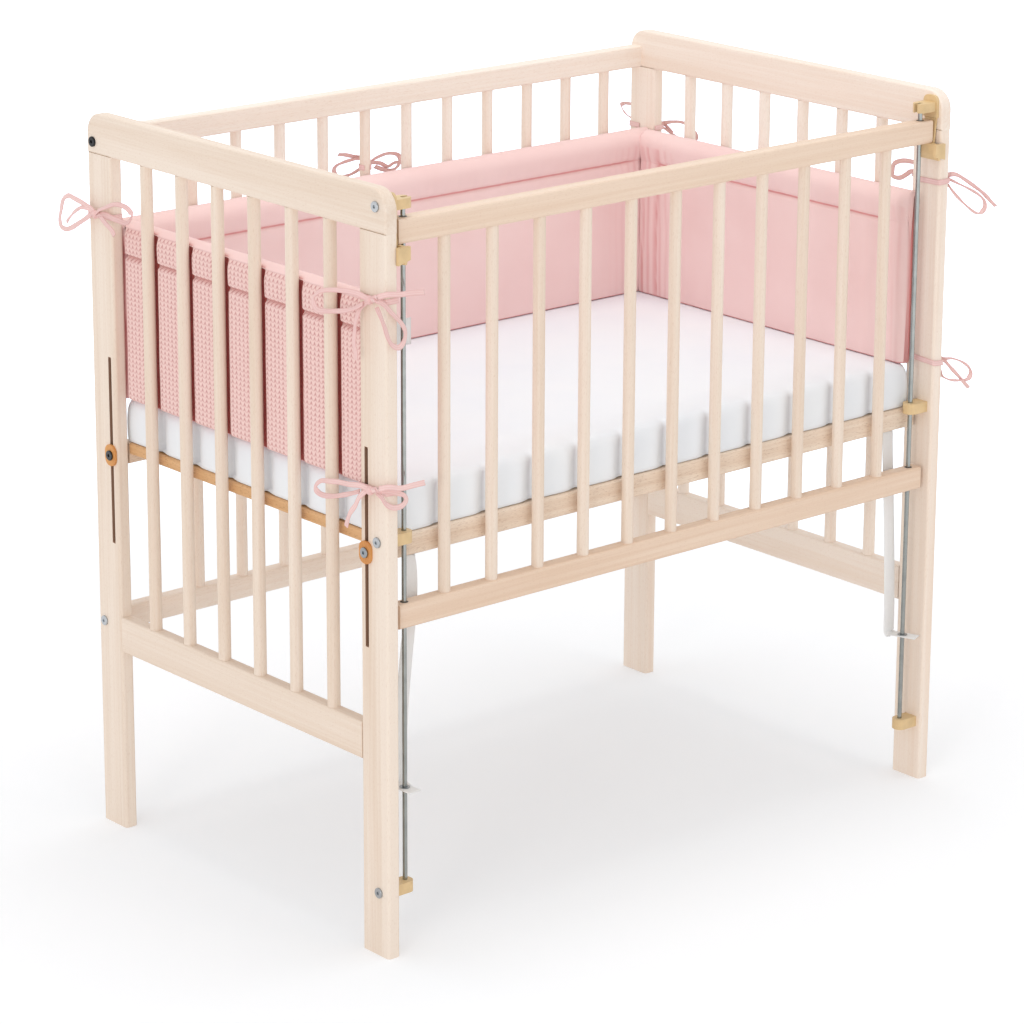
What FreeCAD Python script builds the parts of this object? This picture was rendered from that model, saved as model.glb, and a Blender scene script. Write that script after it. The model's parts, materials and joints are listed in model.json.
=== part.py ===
import FreeCAD, Part
import math
import os
import re

from FreeCAD import Vector

# Bedside sleeper crib in beech: two end frames, a fixed back, a front gate that drops on two steel
# rods, a height-adjustable slatted base with mattress, a tied-on bumper and two webbing straps that
# stop the gate. Millimetres, +Z up, +X along the length, -Y towards the gate. The origin is on the
# floor in the middle of the crib.

os.makedirs("parts", exist_ok=True)
doc = FreeCAD.newDocument("BedsideCrib")
sheet = doc.addObject("Spreadsheet::Sheet", "Sizes")

SIZES = {
    # whole frame
    "length": 940,
    "depth": 596,
    "board": 18,
    "post_width": 50,
    "post_height": 895,
    "edge_round": 4,
    # end frames
    "end_rail_height": 52,
    "end_rail_corner": 26,
    "low_rail_bottom": 244,
    "low_rail_height": 47,
    "end_spindle_diameter": 16,
    "end_spindle_margin": 64.5,
    "tenon_diameter": 10,
    "tenon_depth": 12,
    "glue_gap": 0.05,
    "dowel_diameter": 8,
    "dowel_length": 36,
    "dowel_spread": 24,
    "top_dowel_spread": 15,
    "top_dowel_shift": 9,
    # fixed back
    "side_rail_height": 30,
    "side_rail_thickness": 20,
    "side_setback": 3,
    "rail_round": 3,
    "back_low_rail_bottom": 263,
    "side_spindle_diameter": 15,
    "back_spindle_margin": 62,
    # gate
    "gate_setback": 8,
    "gate_rise": 14,
    "gate_total": 497,
    "gate_end_gap": 8,
    "gate_spindle_margin": 75.5,
    "bushing_diameter": 10,
    "bushing_length": 9,
    # guide rods and their brackets
    "rod_diameter": 6,
    "rod_inset": 22,
    "running_gap": 0.08,
    "fixing_gap": 0.05,
    "bracket_width": 20,
    "bracket_height": 14,
    "bracket_overhang": 9,
    "bracket_round": 9,
    "low_bracket_bottom": 74.5,
    "middle_bracket_rise": 104.5,
    "holder_arm_height": 12,
    "holder_plate_width": 24,
    "holder_plate_thickness": 4,
    "holder_plate_height": 29,
    "holder_plate_round": 8,
    "holder_drop": 21,
    # catches
    "leaf_thickness": 2.6,
    "leaf_width": 20,
    "leaf_lean": 6.3,
    "catch_height": 21,
    "catch_overlap": 3.4,
    "catch_gap": 0.3,
    "tab_width": 18,
    "tab_thickness": 4.5,
    "tab_gap": 0.5,
    # screws and bolts
    "bolt_diameter": 6,
    "bolt_head_diameter": 13,
    "bolt_head_height": 2.4,
    "bolt_head_round": 0.8,
    "bolt_grip": 44,
    "screw_diameter": 4.5,
    "screw_grip": 33,
    "socket_size": 4,
    "socket_depth": 1.4,
    "hole_gap": 0.25,
    "nut_diameter": 10,
    "nut_length": 14,
    # bed base
    "base_drop": 115,
    "beam_height": 28,
    "end_beam_height": 15,
    "beam_width": 18,
    "beam_end_gap": 3,
    "slot_inset": 38,
    "slot_drop": 259,
    "slot_run": 247,
    "slot_play": 0.2,
    "washer_width": 22,
    "washer_height": 28,
    "washer_thickness": 3,
    "washer_round": 10,
    "slide_gap": 0.1,
    "base_bolt_grip": 54,
    "base_dowel_diameter": 6,
    "base_dowel_length": 24,
    "base_dowel_rise": 8,
    "slat_width": 50,
    "slat_thickness": 10,
    "slat_seat": 12,
    "slat_gap": 0.3,
    "slat_round": 2,
    "wood_screw_diameter": 3.5,
    "wood_screw_head": 6.5,
    "wood_screw_length": 15,
    "wood_screw_head_height": 1.8,
    # mattress and bumper
    "soft_gap": 0.3,
    "mattress_height": 62,
    "mattress_end_gap": 4,
    "mattress_front_inset": 31,
    "mattress_back_inset": 29,
    "mattress_corner": 18,
    "bumper_lift": 58.5,
    "bumper_height": 232,
    "bumper_roll": 42,
    "bumper_thickness": 25,
    "bumper_tuck": 4,
    "bumper_puff": 5.5,
    "bumper_front_inset": 36,
    "bumper_side_gap": 0.6,
    "bumper_back_inset": 24,
    "bumper_joint_gap": 0.5,
    # straps
    "strap_width": 20,
    "strap_thickness": 1.2,
    "strap_top_inset": 44,
    "strap_setback": 36,
    "strap_bend": 4,
    "eyelet_drop": 205,
    "eyelet_hole": 7,
    "eyelet_rim": 3,
    "eyelet_wall": 0.8,
    "eyelet_thickness": 2.6,
    "strap_tail": 19,
    # ties and tag
    "tape_width": 8,
    "tape_thickness": 0.9,
    "tape_gap": 0.5,
    "knot_size": 11,
    "knot_bevel": 2.8,
    "tie_upper": 6,
    "tie_lower": 9,
    "tag_width": 32,
    "tag_hold": 10,
    "tag_height": 32,
    "tag_drop": 30,
    "tag_thickness": 0.8,
}

row = 1
for size_name, size_value in SIZES.items():
    sheet.set("A%d" % row, size_name.replace("_", " "))
    sheet.set("B%d" % row, str(size_value))
    sheet.setAlias("B%d" % row, size_name)
    row += 1

# Places worked out from the sizes above, each written once as a formula.
PLACES = {
    "inner_x": "length / 2 - board",
    "inner_y": "depth / 2 - post_width",
    "post_x": "length / 2 - board / 2",
    "post_y": "depth / 2 - post_width / 2",
    "frame_top": "post_height + end_rail_height",
    "low_rail_top": "low_rail_bottom + low_rail_height",
    "side_y": "depth / 2 - side_setback - side_rail_thickness / 2",
    "gate_y": "gate_setback + side_rail_thickness / 2 - depth / 2",
    "back_top_z": "post_height + side_rail_height / 2",
    "back_low_z": "back_low_rail_bottom + side_rail_height / 2",
    "gate_top": "post_height + gate_rise",
    "gate_bottom": "gate_top - gate_total",
    "gate_half": "inner_x - gate_end_gap",
    "gate_underside": "gate_top - side_rail_height",
    "rod_x": "inner_x - rod_inset",
    "holder_z": "frame_top - holder_drop",
    "middle_bracket_z": "gate_bottom + middle_bracket_rise + bracket_height / 2",
    "low_bracket_z": "low_bracket_bottom + bracket_height / 2",
    "rod_bottom": "low_bracket_bottom + bracket_height / 4",
    "rod_top": "holder_z + holder_arm_height / 2 - 1",
    "base_y": "depth / 2 - slot_inset",
    "slot_high": "post_height - slot_drop",
    "slot_low": "slot_high - slot_run",
    "base_top": "slot_high - base_drop",
    "beam_z": "base_top - beam_height / 2",
    "base_dowel_z": "beam_z + base_dowel_rise",
    "beam_half": "inner_x - beam_end_gap",
    "mattress_floor": "base_top + soft_gap",
    "mattress_top": "mattress_floor + mattress_height",
    "eyelet_level": "gate_bottom - eyelet_drop",
    "strap_screw_y": "beam_width / 2 - base_y - 4.5",
    "strap_inner_end": "beam_width / 2 - base_y - 0.5",
}
places = doc.addObject("App::FeaturePython", "Places")


def formula(text):
    """A size formula with every name pointing at its cell or at its worked-out place."""

    def owner(match):
        word = match.group(0)
        return ("Places." if word in PLACES else "Sizes.") + word

    return re.sub(r"[a-z]+[a-z_]*", owner, text)


for place_name, place_text in PLACES.items():
    places.addProperty("App::PropertyFloat", place_name)
    places.setExpression(place_name, formula(place_text))
doc.recompute()


def size(name):
    """The number behind a named size or place."""
    if name in PLACES:
        return float(getattr(places, name))
    return float(sheet.get(name))


# ---------------------------------------------------------------- building helpers

TURNS = {
    "x": FreeCAD.Rotation(Vector(0, 1, 0), 90),
    "y": FreeCAD.Rotation(Vector(1, 0, 0), -90),
    "z": FreeCAD.Rotation(),
}


def bind(thing, settings):
    """Tie properties of an object to formulas."""
    for path, text in settings.items():
        thing.setExpression(path, formula(text))


def block(name, dims, centre):
    """A box of the given three sizes around a centre."""
    box = doc.addObject("Part::Box", name)
    bind(box, dict(zip(("Length", "Width", "Height"), dims)))
    for axis, middle, extent in zip("xyz", centre, dims):
        box.setExpression("Placement.Base." + axis, formula("(%s) - (%s) / 2" % (middle, extent)))
    return box


def round_bar(name, diameter, run, centre, along):
    """A cylinder of the given diameter and length around a centre, along x, y or z."""
    bar = doc.addObject("Part::Cylinder", name)
    bind(bar, {"Radius": "(%s) / 2" % diameter, "Height": run})
    bar.Placement = FreeCAD.Placement(Vector(), TURNS[along])
    for axis, middle in zip("xyz", centre):
        text = "(%s) - (%s) / 2" % (middle, run) if axis == along else "(%s)" % middle
        bar.setExpression("Placement.Base." + axis, formula(text))
    return bar


def rounded(blank, radius, chosen):
    """The blank with the edges picked by a test rounded off."""
    doc.recompute()
    soft = doc.addObject("Part::Fillet", blank.Name + "_rounded")
    soft.Base = blank
    picks = []
    for number, edge in enumerate(blank.Shape.Edges, 1):
        if chosen(edge):
            picks.append((number, size(radius), size(radius)))
    soft.Edges = picks
    return soft


def along_axis(axis):
    """A test for straight edges along one axis."""

    def test(edge):
        run = edge.Vertexes[-1].Point - edge.Vertexes[0].Point
        return edge.Curve.TypeId == "Part::GeomLine" and abs(run[axis]) > 0.99 * run.Length

    return test


def cut(name, blank, tools):
    """The blank less all the tools."""
    tool = doc.addObject("Part::Compound", name + "_tools")
    tool.Links = tools
    result = doc.addObject("Part::Cut", name + "_cut")
    result.Base = blank
    result.Tool = tool
    return result


def joined(name, pieces):
    """Pieces that touch or overlap, made one solid."""
    whole = doc.addObject("Part::MultiFuse", name)
    whole.Shapes = pieces
    whole.Refine = True
    return whole


nodes = []


def node(name, result):
    """Name a finished sub-part."""
    result.Label = name
    nodes.append(result)
    return result


def group(name, pieces):
    """Several alike solids that share one node."""
    together = doc.addObject("Part::Compound", name)
    together.Links = pieces
    return node(name, together)


def shaped(name, shape):
    """A sub-part whose shape is worked out from the sizes in plain code."""
    feature = doc.addObject("Part::Feature", name)
    feature.Shape = shape
    return node(name, feature)


def spread(first, last, count, index):
    """Formula of one place in an evenly spaced row."""
    return "(%s) + ((%s) - (%s)) * %d / %d" % (first, last, first, index, count - 1)


SIDES = (("left", -1), ("right", 1))
ENDS = (("front", -1), ("back", 1))
END_SPINDLES = 6
BACK_SPINDLES = 12
GATE_SPINDLES = 11
SLATS = 8

tenon_bore = "tenon_diameter + 2 * glue_gap"
tenon_bore_depth = "tenon_depth + 1"
dowel_bore = "dowel_diameter + 2 * glue_gap"
dowel_bore_depth = "dowel_length / 2 + 1"

# ---------------------------------------------------------------- end frames


def spindle_places(first, last, count):
    return [spread(first, last, count, index) for index in range(count)]


end_spindle_ys = spindle_places(
    "-(inner_y - end_spindle_margin)", "inner_y - end_spindle_margin", END_SPINDLES
)
back_spindle_xs = spindle_places(
    "-(inner_x - back_spindle_margin)", "inner_x - back_spindle_margin", BACK_SPINDLES
)
gate_spindle_xs = spindle_places(
    "-(gate_half - gate_spindle_margin)", "gate_half - gate_spindle_margin", GATE_SPINDLES
)


def top_dowel_y(y_sign, step):
    """Place of a dowel between post and top rail, clear of the bolt further out."""
    return "%d * (post_y - top_dowel_shift + %d * top_dowel_spread / 2)" % (y_sign, step)


def post(name, x_sign, y_sign):
    """A flat post with rounded long edges, its base slot and the holes for its fixings."""
    x = "%d * post_x" % x_sign
    blank = block(name + "_blank", ("board", "post_width", "post_height"),
                  (x, "%d * post_y" % y_sign, "post_height / 2"))
    soft = rounded(blank, "edge_round", along_axis(2))
    slot_y = "%d * base_y" % y_sign
    slot_size = "bolt_diameter + slot_play"
    tools = [
        block(name + "_slot", ("2 * board", slot_size, "slot_high - slot_low - (%s)" % slot_size),
              (x, slot_y, "(slot_high + slot_low) / 2")),
        round_bar(name + "_slot_top", slot_size, "2 * board",
                  (x, slot_y, "slot_high - (%s) / 2" % slot_size), "x"),
        round_bar(name + "_slot_end", slot_size, "2 * board",
                  (x, slot_y, "slot_low + (%s) / 2" % slot_size), "x"),
    ]
    for step in (-1, 1):
        tools.append(round_bar(
            "%s_top_bore_%d" % (name, step + 1), dowel_bore, "2 * (%s)" % dowel_bore_depth,
            (x, top_dowel_y(y_sign, step), "post_height"), "z"))
        tools.append(round_bar(
            "%s_side_bore_%d" % (name, step + 1), dowel_bore, "2 * (%s)" % dowel_bore_depth,
            (x, "%d * inner_y" % y_sign,
             "low_rail_bottom + low_rail_height / 2 + %d * dowel_spread / 2" % step), "y"))
    if y_sign > 0:
        tools.append(round_bar(name + "_bolt_bore", "bolt_diameter + 2 * hole_gap", "2 * board",
                               (x, "side_y", "back_low_z"), "x"))
    else:
        for level in ("middle_bracket_z", "low_bracket_z"):
            tools.append(round_bar(name + "_" + level + "_bore", "screw_diameter + 2 * hole_gap",
                                   "2 * board", (x, "gate_y", level), "x"))
    return node(name, cut(name, soft, tools))


def end_top_rail(name, x_sign):
    """The rail that caps an end frame, with two big round corners."""
    x = "%d * post_x" % x_sign
    blank = block(name + "_blank", ("board", "depth", "end_rail_height"),
                  (x, "0", "post_height + end_rail_height / 2"))

    def top_corner(edge):
        return along_axis(0)(edge) and edge.CenterOfMass.z > size("frame_top") - 1

    cornered = rounded(blank, "end_rail_corner", top_corner)

    def rim(edge):
        return not along_axis(0)(edge)

    soft = rounded(cornered, "rail_round", rim)
    tools = []
    for index, y in enumerate(end_spindle_ys):
        tools.append(round_bar("%s_bore_%d" % (name, index), tenon_bore,
                               "2 * (%s)" % tenon_bore_depth, (x, y, "post_height"), "z"))
    for end, y_sign in ENDS:
        for step in (-1, 1):
            tools.append(round_bar(
                "%s_%s_dowel_%d" % (name, end, step + 1), dowel_bore,
                "2 * (%s)" % dowel_bore_depth,
                (x, top_dowel_y(y_sign, step), "post_height"), "z"))
    tools.append(round_bar(name + "_bolt_bore", "bolt_diameter + 2 * hole_gap", "2 * board",
                           (x, "side_y", "back_top_z"), "x"))
    tools.append(round_bar(name + "_screw_bore", "screw_diameter + 2 * hole_gap", "2 * board",
                           (x, "gate_y", "holder_z"), "x"))
    return node(name, cut(name, soft, tools))


def end_low_rail(name, x_sign):
    """The rail between two posts that carries the feet of the end spindles."""
    x = "%d * post_x" % x_sign
    middle = "low_rail_bottom + low_rail_height / 2"
    blank = block(name + "_blank", ("board", "2 * inner_y", "low_rail_height"), (x, "0", middle))
    soft = rounded(blank, "rail_round", along_axis(1))
    tools = []
    for index, y in enumerate(end_spindle_ys):
        tools.append(round_bar("%s_bore_%d" % (name, index), tenon_bore,
                               "2 * (%s)" % tenon_bore_depth, (x, y, "low_rail_top"), "z"))
    for end, y_sign in ENDS:
        for step in (-1, 1):
            tools.append(round_bar(
                "%s_%s_dowel_%d" % (name, end, step + 1), dowel_bore,
                "2 * (%s)" % dowel_bore_depth,
                (x, "%d * inner_y" % y_sign, "(%s) + %d * dowel_spread / 2" % (middle, step)),
                "y"))
    return node(name, cut(name, soft, tools))


def spindle(name, diameter, x, y, low, high):
    """A round bar turned down to a tenon at both ends."""
    middle = "((%s) + (%s)) / 2" % (low, high)
    run = "(%s) - (%s)" % (high, low)
    body = round_bar(name + "_body", diameter, run, (x, y, middle), "z")
    tenons = round_bar(name + "_tenons", "tenon_diameter", "(%s) + 2 * tenon_depth" % run,
                       (x, y, middle), "z")
    return joined(name, [body, tenons])


for side, sign in SIDES:
    for end, end_sign in ENDS:
        post("post_%s_%s" % (end, side), sign, end_sign)
    end_top_rail("end_top_rail_" + side, sign)
    end_low_rail("end_bottom_rail_" + side, sign)
    group("end_spindles_" + side, [
        spindle("end_spindle_%s_%d" % (side, index), "end_spindle_diameter",
                "%d * post_x" % sign, y, "low_rail_top", "post_height")
        for index, y in enumerate(end_spindle_ys)
    ])

dowels = []
for side, sign in SIDES:
    for end, end_sign in ENDS:
        for step in (-1, 1):
            tag = "%s_%s_%d" % (side, end, step + 1)
            dowels.append(round_bar(
                "top_dowel_" + tag, "dowel_diameter", "dowel_length",
                ("%d * post_x" % sign, top_dowel_y(end_sign, step), "post_height"), "z"))
            dowels.append(round_bar(
                "low_dowel_" + tag, "dowel_diameter", "dowel_length",
                ("%d * post_x" % sign, "%d * inner_y" % end_sign,
                 "low_rail_bottom + low_rail_height / 2 + %d * dowel_spread / 2" % step), "y"))
group("frame_dowels", dowels)

# ---------------------------------------------------------------- fixed back


def side_rail(name, half, y, z, spindle_xs, up, tools):
    """A long rail with blind bores for its spindles on the upper or lower face."""
    blank = block(name + "_blank", ("2 * (%s)" % half, "side_rail_thickness", "side_rail_height"),
                  ("0", y, z))
    soft = rounded(blank, "rail_round", along_axis(0))
    face = "(%s) + %d * side_rail_height / 2" % (z, up)
    for index, x in enumerate(spindle_xs):
        tools.append(round_bar("%s_bore_%d" % (name, index), tenon_bore,
                               "2 * (%s)" % tenon_bore_depth, (x, y, face), "z"))
    return node(name, cut(name, soft, tools))


def bolt_bores(name, y, z):
    """Bores in both ends of a rail for its bolts, with the cross bores for the barrel nuts."""
    tools = []
    for side, x_sign in SIDES:
        tools.append(round_bar("%s_%s_bolt" % (name, side), "bolt_diameter + 2 * hole_gap",
                               "2 * (bolt_grip - board + 2)", ("%d * inner_x" % x_sign, y, z), "x"))
        tools.append(round_bar(
            "%s_%s_nut" % (name, side), "nut_diameter + 2 * glue_gap", "nut_length + 2 * glue_gap",
            ("%d * (inner_x + board - bolt_grip + nut_diameter / 2)" % x_sign, y, z), "y"))
    return tools


side_rail("back_top_rail", "inner_x", "side_y", "back_top_z", back_spindle_xs, -1,
          bolt_bores("back_top", "side_y", "back_top_z"))
side_rail("back_bottom_rail", "inner_x", "side_y", "back_low_z", back_spindle_xs, 1,
          bolt_bores("back_low", "side_y", "back_low_z"))
group("back_spindles", [
    spindle("back_spindle_%d" % index, "side_spindle_diameter", x, "side_y",
            "back_low_rail_bottom + side_rail_height", "post_height")
    for index, x in enumerate(back_spindle_xs)
])


def headed(name, x_sign, diameter, face, run, y, z):
    """A bolt or screw along x: flat rounded head with a hexagon socket, and its shank."""
    head_x = "%d * ((%s) + bolt_head_height / 2)" % (x_sign, face)
    head = round_bar(name + "_head", "bolt_head_diameter", "bolt_head_height", (head_x, y, z), "x")
    outer = x_sign

    def rim(edge):
        return edge.CenterOfMass.x * outer > head.Shape.CenterOfMass.x * outer

    soft = rounded(head, "bolt_head_round", rim)
    shank = round_bar(name + "_shank", diameter, run,
                      ("%d * ((%s) - (%s) / 2 + bolt_head_height / 4)" % (x_sign, face, run),
                       y, z), "x")
    whole = joined(name + "_blank", [soft, shank])
    socket = doc.addObject("Part::Prism", name + "_socket")
    socket.Polygon = 6
    bind(socket, {"Circumradius": "socket_size / 2 / 0.866", "Height": "2 * socket_depth"})
    socket.Placement = FreeCAD.Placement(Vector(), TURNS["x"])
    bind(socket, {
        "Placement.Base.x": "%d * ((%s) + bolt_head_height) - socket_depth" % (x_sign, face),
        "Placement.Base.y": y,
        "Placement.Base.z": z,
    })
    return cut(name, whole, [socket])


def barrel_nut(name, x, y, z):
    """A cross nut: a short steel cylinder that a bolt passes through."""
    barrel = round_bar(name + "_barrel", "nut_diameter", "nut_length", (x, y, z), "y")
    bore = round_bar(name + "_bore", "bolt_diameter + 2 * glue_gap", "2 * nut_diameter",
                     (x, y, z), "x")
    return cut(name, barrel, [bore])


back_bolts = []
back_nuts = []
for side, sign in SIDES:
    for level in ("back_top_z", "back_low_z"):
        back_bolts.append(headed("%s_%s_bolt" % (level, side), sign, "bolt_diameter",
                                 "length / 2", "bolt_grip", "side_y", level))
        back_nuts.append(barrel_nut(
            "%s_%s_barrel" % (level, side),
            "%d * (inner_x + board - bolt_grip + nut_diameter / 2)" % sign, "side_y", level))
group("back_rail_bolts", back_bolts)
group("back_rail_nuts", back_nuts)

# ---------------------------------------------------------------- guide rods and brackets


def bracket(name, x_sign, level, height):
    """A rounded block on the post that holds the guide rod."""
    reach = "rod_inset + bracket_overhang"
    x = "%d * (inner_x - (%s) / 2)" % (x_sign, reach)
    blank = block(name + "_blank", (reach, "bracket_width", height), (x, "gate_y", level))

    def outer_corner(edge):
        return along_axis(2)(edge) and abs(edge.CenterOfMass.x) < size("inner_x") - 1

    return rounded(blank, "bracket_round", outer_corner)


def screw_pilot(name, x_sign, level):
    """The bore in a bracket for the screw that comes through the post."""
    return round_bar(name, "screw_diameter + 2 * glue_gap", "2 * (screw_grip - board + 1)",
                     ("%d * inner_x" % x_sign, "gate_y", level), "x")


rod_bore = "rod_diameter + 2 * fixing_gap"
bracket_screws = []
for side, sign in SIDES:
    rod_middle = "%d * rod_x" % sign
    node("guide_rod_" + side, round_bar(
        "guide_rod_" + side, "rod_diameter", "rod_top - rod_bottom",
        (rod_middle, "gate_y", "(rod_top + rod_bottom) / 2"), "z"))

    name = "rod_bracket_middle_" + side
    node(name, cut(name, bracket(name, sign, "middle_bracket_z", "bracket_height"), [
        round_bar(name + "_rod_bore", rod_bore, "2 * bracket_height",
                  (rod_middle, "gate_y", "middle_bracket_z"), "z"),
        screw_pilot(name + "_pilot", sign, "middle_bracket_z"),
    ]))

    name = "rod_bracket_bottom_" + side
    socket_top = "low_bracket_bottom + bracket_height + 1"
    socket_floor = "rod_bottom - fixing_gap"
    node(name, cut(name, bracket(name, sign, "low_bracket_z", "bracket_height"), [
        round_bar(name + "_rod_socket", rod_bore, "(%s) - (%s)" % (socket_top, socket_floor),
                  (rod_middle, "gate_y", "((%s) + (%s)) / 2" % (socket_top, socket_floor)), "z"),
        screw_pilot(name + "_pilot", sign, "low_bracket_z"),
    ]))

    name = "rod_holder_top_" + side
    plate = block(name + "_plate",
                  ("holder_plate_thickness", "holder_plate_width", "holder_plate_height"),
                  ("%d * (inner_x - holder_plate_thickness / 2)" % sign, "gate_y", "holder_z"))

    def plate_corner(edge):
        return along_axis(0)(edge) and edge.CenterOfMass.z > size("holder_z")

    plate = rounded(plate, "holder_plate_round", plate_corner)
    arm = bracket(name + "_arm", sign, "holder_z", "holder_arm_height")
    fork_run = "bracket_overhang + 2"
    node(name, cut(name, joined(name + "_whole", [plate, arm]), [
        round_bar(name + "_rod_bore", rod_bore, "2 * holder_arm_height",
                  (rod_middle, "gate_y", "holder_z"), "z"),
        block(name + "_fork", (fork_run, "rod_diameter - 0.6", "2 * holder_arm_height"),
              ("%d * (rod_x - (%s) / 2)" % (sign, fork_run), "gate_y", "holder_z")),
        screw_pilot(name + "_pilot", sign, "holder_z"),
    ]))

    for level in ("holder_z", "middle_bracket_z", "low_bracket_z"):
        bracket_screws.append(headed("%s_%s_screw" % (level, side), sign, "screw_diameter",
                                     "length / 2", "screw_grip", "gate_y", level))
group("bracket_screws", bracket_screws)

# ---------------------------------------------------------------- gate


def rod_bores(name, z):
    """Bores for the bushings in both ends of a gate rail."""
    return [round_bar("%s_%s_rod_bore" % (name, side), "bushing_diameter + 2 * glue_gap",
                      "2 * side_rail_height", ("%d * rod_x" % x_sign, "gate_y", z), "z")
            for side, x_sign in SIDES]


gate_high = "gate_top - side_rail_height / 2"
gate_low = "gate_bottom + side_rail_height / 2"
side_rail("gate_top_rail", "gate_half", "gate_y", gate_high, gate_spindle_xs, -1,
          rod_bores("gate_top", gate_high))
side_rail("gate_bottom_rail", "gate_half", "gate_y", gate_low, gate_spindle_xs, 1,
          rod_bores("gate_low", gate_low))
group("gate_spindles", [
    spindle("gate_spindle_%d" % index, "side_spindle_diameter", x, "gate_y",
            "gate_bottom + side_rail_height", "gate_underside")
    for index, x in enumerate(gate_spindle_xs)
])


def bushing(name, x_sign, z):
    """A plain sleeve in a gate rail, running on the guide rod."""
    outer = round_bar(name + "_outer", "bushing_diameter", "bushing_length",
                      ("%d * rod_x" % x_sign, "gate_y", z), "z")
    bore = round_bar(name + "_bore", "rod_diameter + 2 * running_gap", "2 * bushing_length",
                     ("%d * rod_x" % x_sign, "gate_y", z), "z")
    return cut(name, outer, [bore])


bushings = []
for side, sign in SIDES:
    for level, face in (("high", gate_high), ("low", gate_low)):
        for place, step in (("upper", 1), ("lower", -1)):
            bushings.append(bushing(
                "bushing_%s_%s_%s" % (side, level, place), sign,
                "(%s) + %d * (side_rail_height / 2 - bushing_length / 2)" % (face, step)))
group("gate_bushings", bushings)

# ---------------------------------------------------------------- catches


def catch(name, x_sign):
    """A springy leaf on the post with a hook under the gate rail and a finger tab in front."""
    inner = size("inner_x")
    gate_y = size("gate_y")
    half_leaf = size("leaf_thickness") / 2
    pivot_x = inner - size("fixing_gap") * 6 - half_leaf
    pivot_z = size("holder_z") - size("holder_plate_height") / 2 - half_leaf - 0.4
    top = size("gate_underside") - size("catch_gap")
    low = top - size("catch_height")
    lean = math.tan(math.radians(size("leaf_lean")))
    edge_x = size("gate_half") - size("catch_overlap")
    front = -size("depth") / 2 - size("tab_gap") - size("tab_thickness")
    rear = gate_y + size("leaf_width") / 2

    def leaf_x(z, offset):
        return pivot_x - (pivot_z - z) * lean + offset

    def prism(outline, y_from, y_to):
        wire = Part.makePolygon([Vector(x_sign * x, y_from, z) for x, z in outline + outline[:1]])
        return Part.Face(wire).extrude(Vector(0, y_to - y_from, 0))

    leaf_rear = rear
    leaf_front = gate_y - size("leaf_width") / 2
    leaf = prism([(leaf_x(pivot_z, -half_leaf), pivot_z), (leaf_x(pivot_z, half_leaf), pivot_z),
                  (leaf_x(low, half_leaf), low), (leaf_x(low, -half_leaf), low)],
                 leaf_front, leaf_rear)
    knuckle = Part.makeCylinder(half_leaf, leaf_rear - leaf_front,
                                Vector(x_sign * pivot_x, leaf_front, pivot_z), Vector(0, 1, 0))
    wall = leaf_x(low, half_leaf)
    hook = prism([(edge_x, top), (wall, top), (wall, low), (edge_x + 2.2, low),
                  (edge_x, low + 8)], front, rear)
    tab_middle = edge_x + 5.4
    half_tab = size("tab_width") / 2
    tab = prism([(tab_middle - half_tab, top), (tab_middle + half_tab, top),
                 (tab_middle + half_tab, low), (tab_middle - half_tab, low + 5)],
                front, front + size("tab_thickness"))
    whole = leaf.fuse([knuckle, hook, tab]).removeSplitter()
    return shaped(name, whole)


for side, sign in SIDES:
    catch("catch_" + side, sign)

# ---------------------------------------------------------------- bed base

slat_space = "(2 * (beam_half - beam_width) - %d * slat_width) / %d" % (SLATS, SLATS + 1)
slat_first = "-(beam_half - beam_width) + (%s) + slat_width / 2" % slat_space
slat_xs = [spread(slat_first, "-(%s)" % slat_first, SLATS, index) for index in range(SLATS)]
slat_half = "base_y - beam_width / 2 + slat_seat"
slat_screw_y = "base_y - beam_width / 2 + slat_seat / 2"
base_nut_x = "length / 2 + slide_gap + washer_thickness - base_bolt_grip + nut_diameter / 2"
pilot = "wood_screw_diameter + 2 * glue_gap"


def long_beam(name, y_sign):
    """A side beam of the base with seats for the slats and the bores for its fixings."""
    y = "%d * base_y" % y_sign
    blank = block(name + "_blank", ("2 * beam_half", "beam_width", "beam_height"),
                  ("0", y, "beam_z"))
    soft = rounded(blank, "rail_round", along_axis(0))
    tools = []
    seat_run = "slat_seat + slat_gap"
    seat_y = "%d * (base_y - beam_width / 2 + (%s) / 2)" % (y_sign, seat_run)
    for index, x in enumerate(slat_xs):
        tools.append(block("%s_seat_%d" % (name, index),
                           ("slat_width + 2 * slat_gap", seat_run, "2 * slat_thickness"),
                           (x, seat_y, "base_top")))
        tools.append(round_bar("%s_pilot_%d" % (name, index), pilot,
                               "2 * (wood_screw_length + 1)",
                               (x, "%d * (%s)" % (y_sign, slat_screw_y), "base_top"), "z"))
    for side, x_sign in SIDES:
        tools.append(round_bar("%s_%s_bolt" % (name, side), "bolt_diameter + 2 * hole_gap",
                               "2 * (beam_half - (%s) + nut_diameter / 2 + 2)" % base_nut_x,
                               ("%d * beam_half" % x_sign, y, "beam_z"), "x"))
        tools.append(round_bar("%s_%s_nut" % (name, side), "nut_diameter + 2 * glue_gap",
                               "nut_length + 2 * glue_gap",
                               ("%d * (%s)" % (x_sign, base_nut_x), y, "beam_z"), "y"))
        tools.append(round_bar(
            "%s_%s_dowel" % (name, side), "base_dowel_diameter + 2 * glue_gap",
            "base_dowel_length + 1",
            ("%d * (beam_half - beam_width / 2)" % x_sign,
             "%d * (base_y - beam_width / 2)" % y_sign, "base_dowel_z"), "y"))
    if y_sign < 0:
        for side, x_sign in SIDES:
            tools.append(round_bar(
                "%s_%s_strap" % (name, side), pilot, "2 * (wood_screw_length - 3)",
                ("%d * (inner_x - strap_top_inset)" % x_sign, "strap_screw_y",
                 "base_top - beam_height"), "z"))
    return node(name, cut(name, soft, tools))


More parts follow.
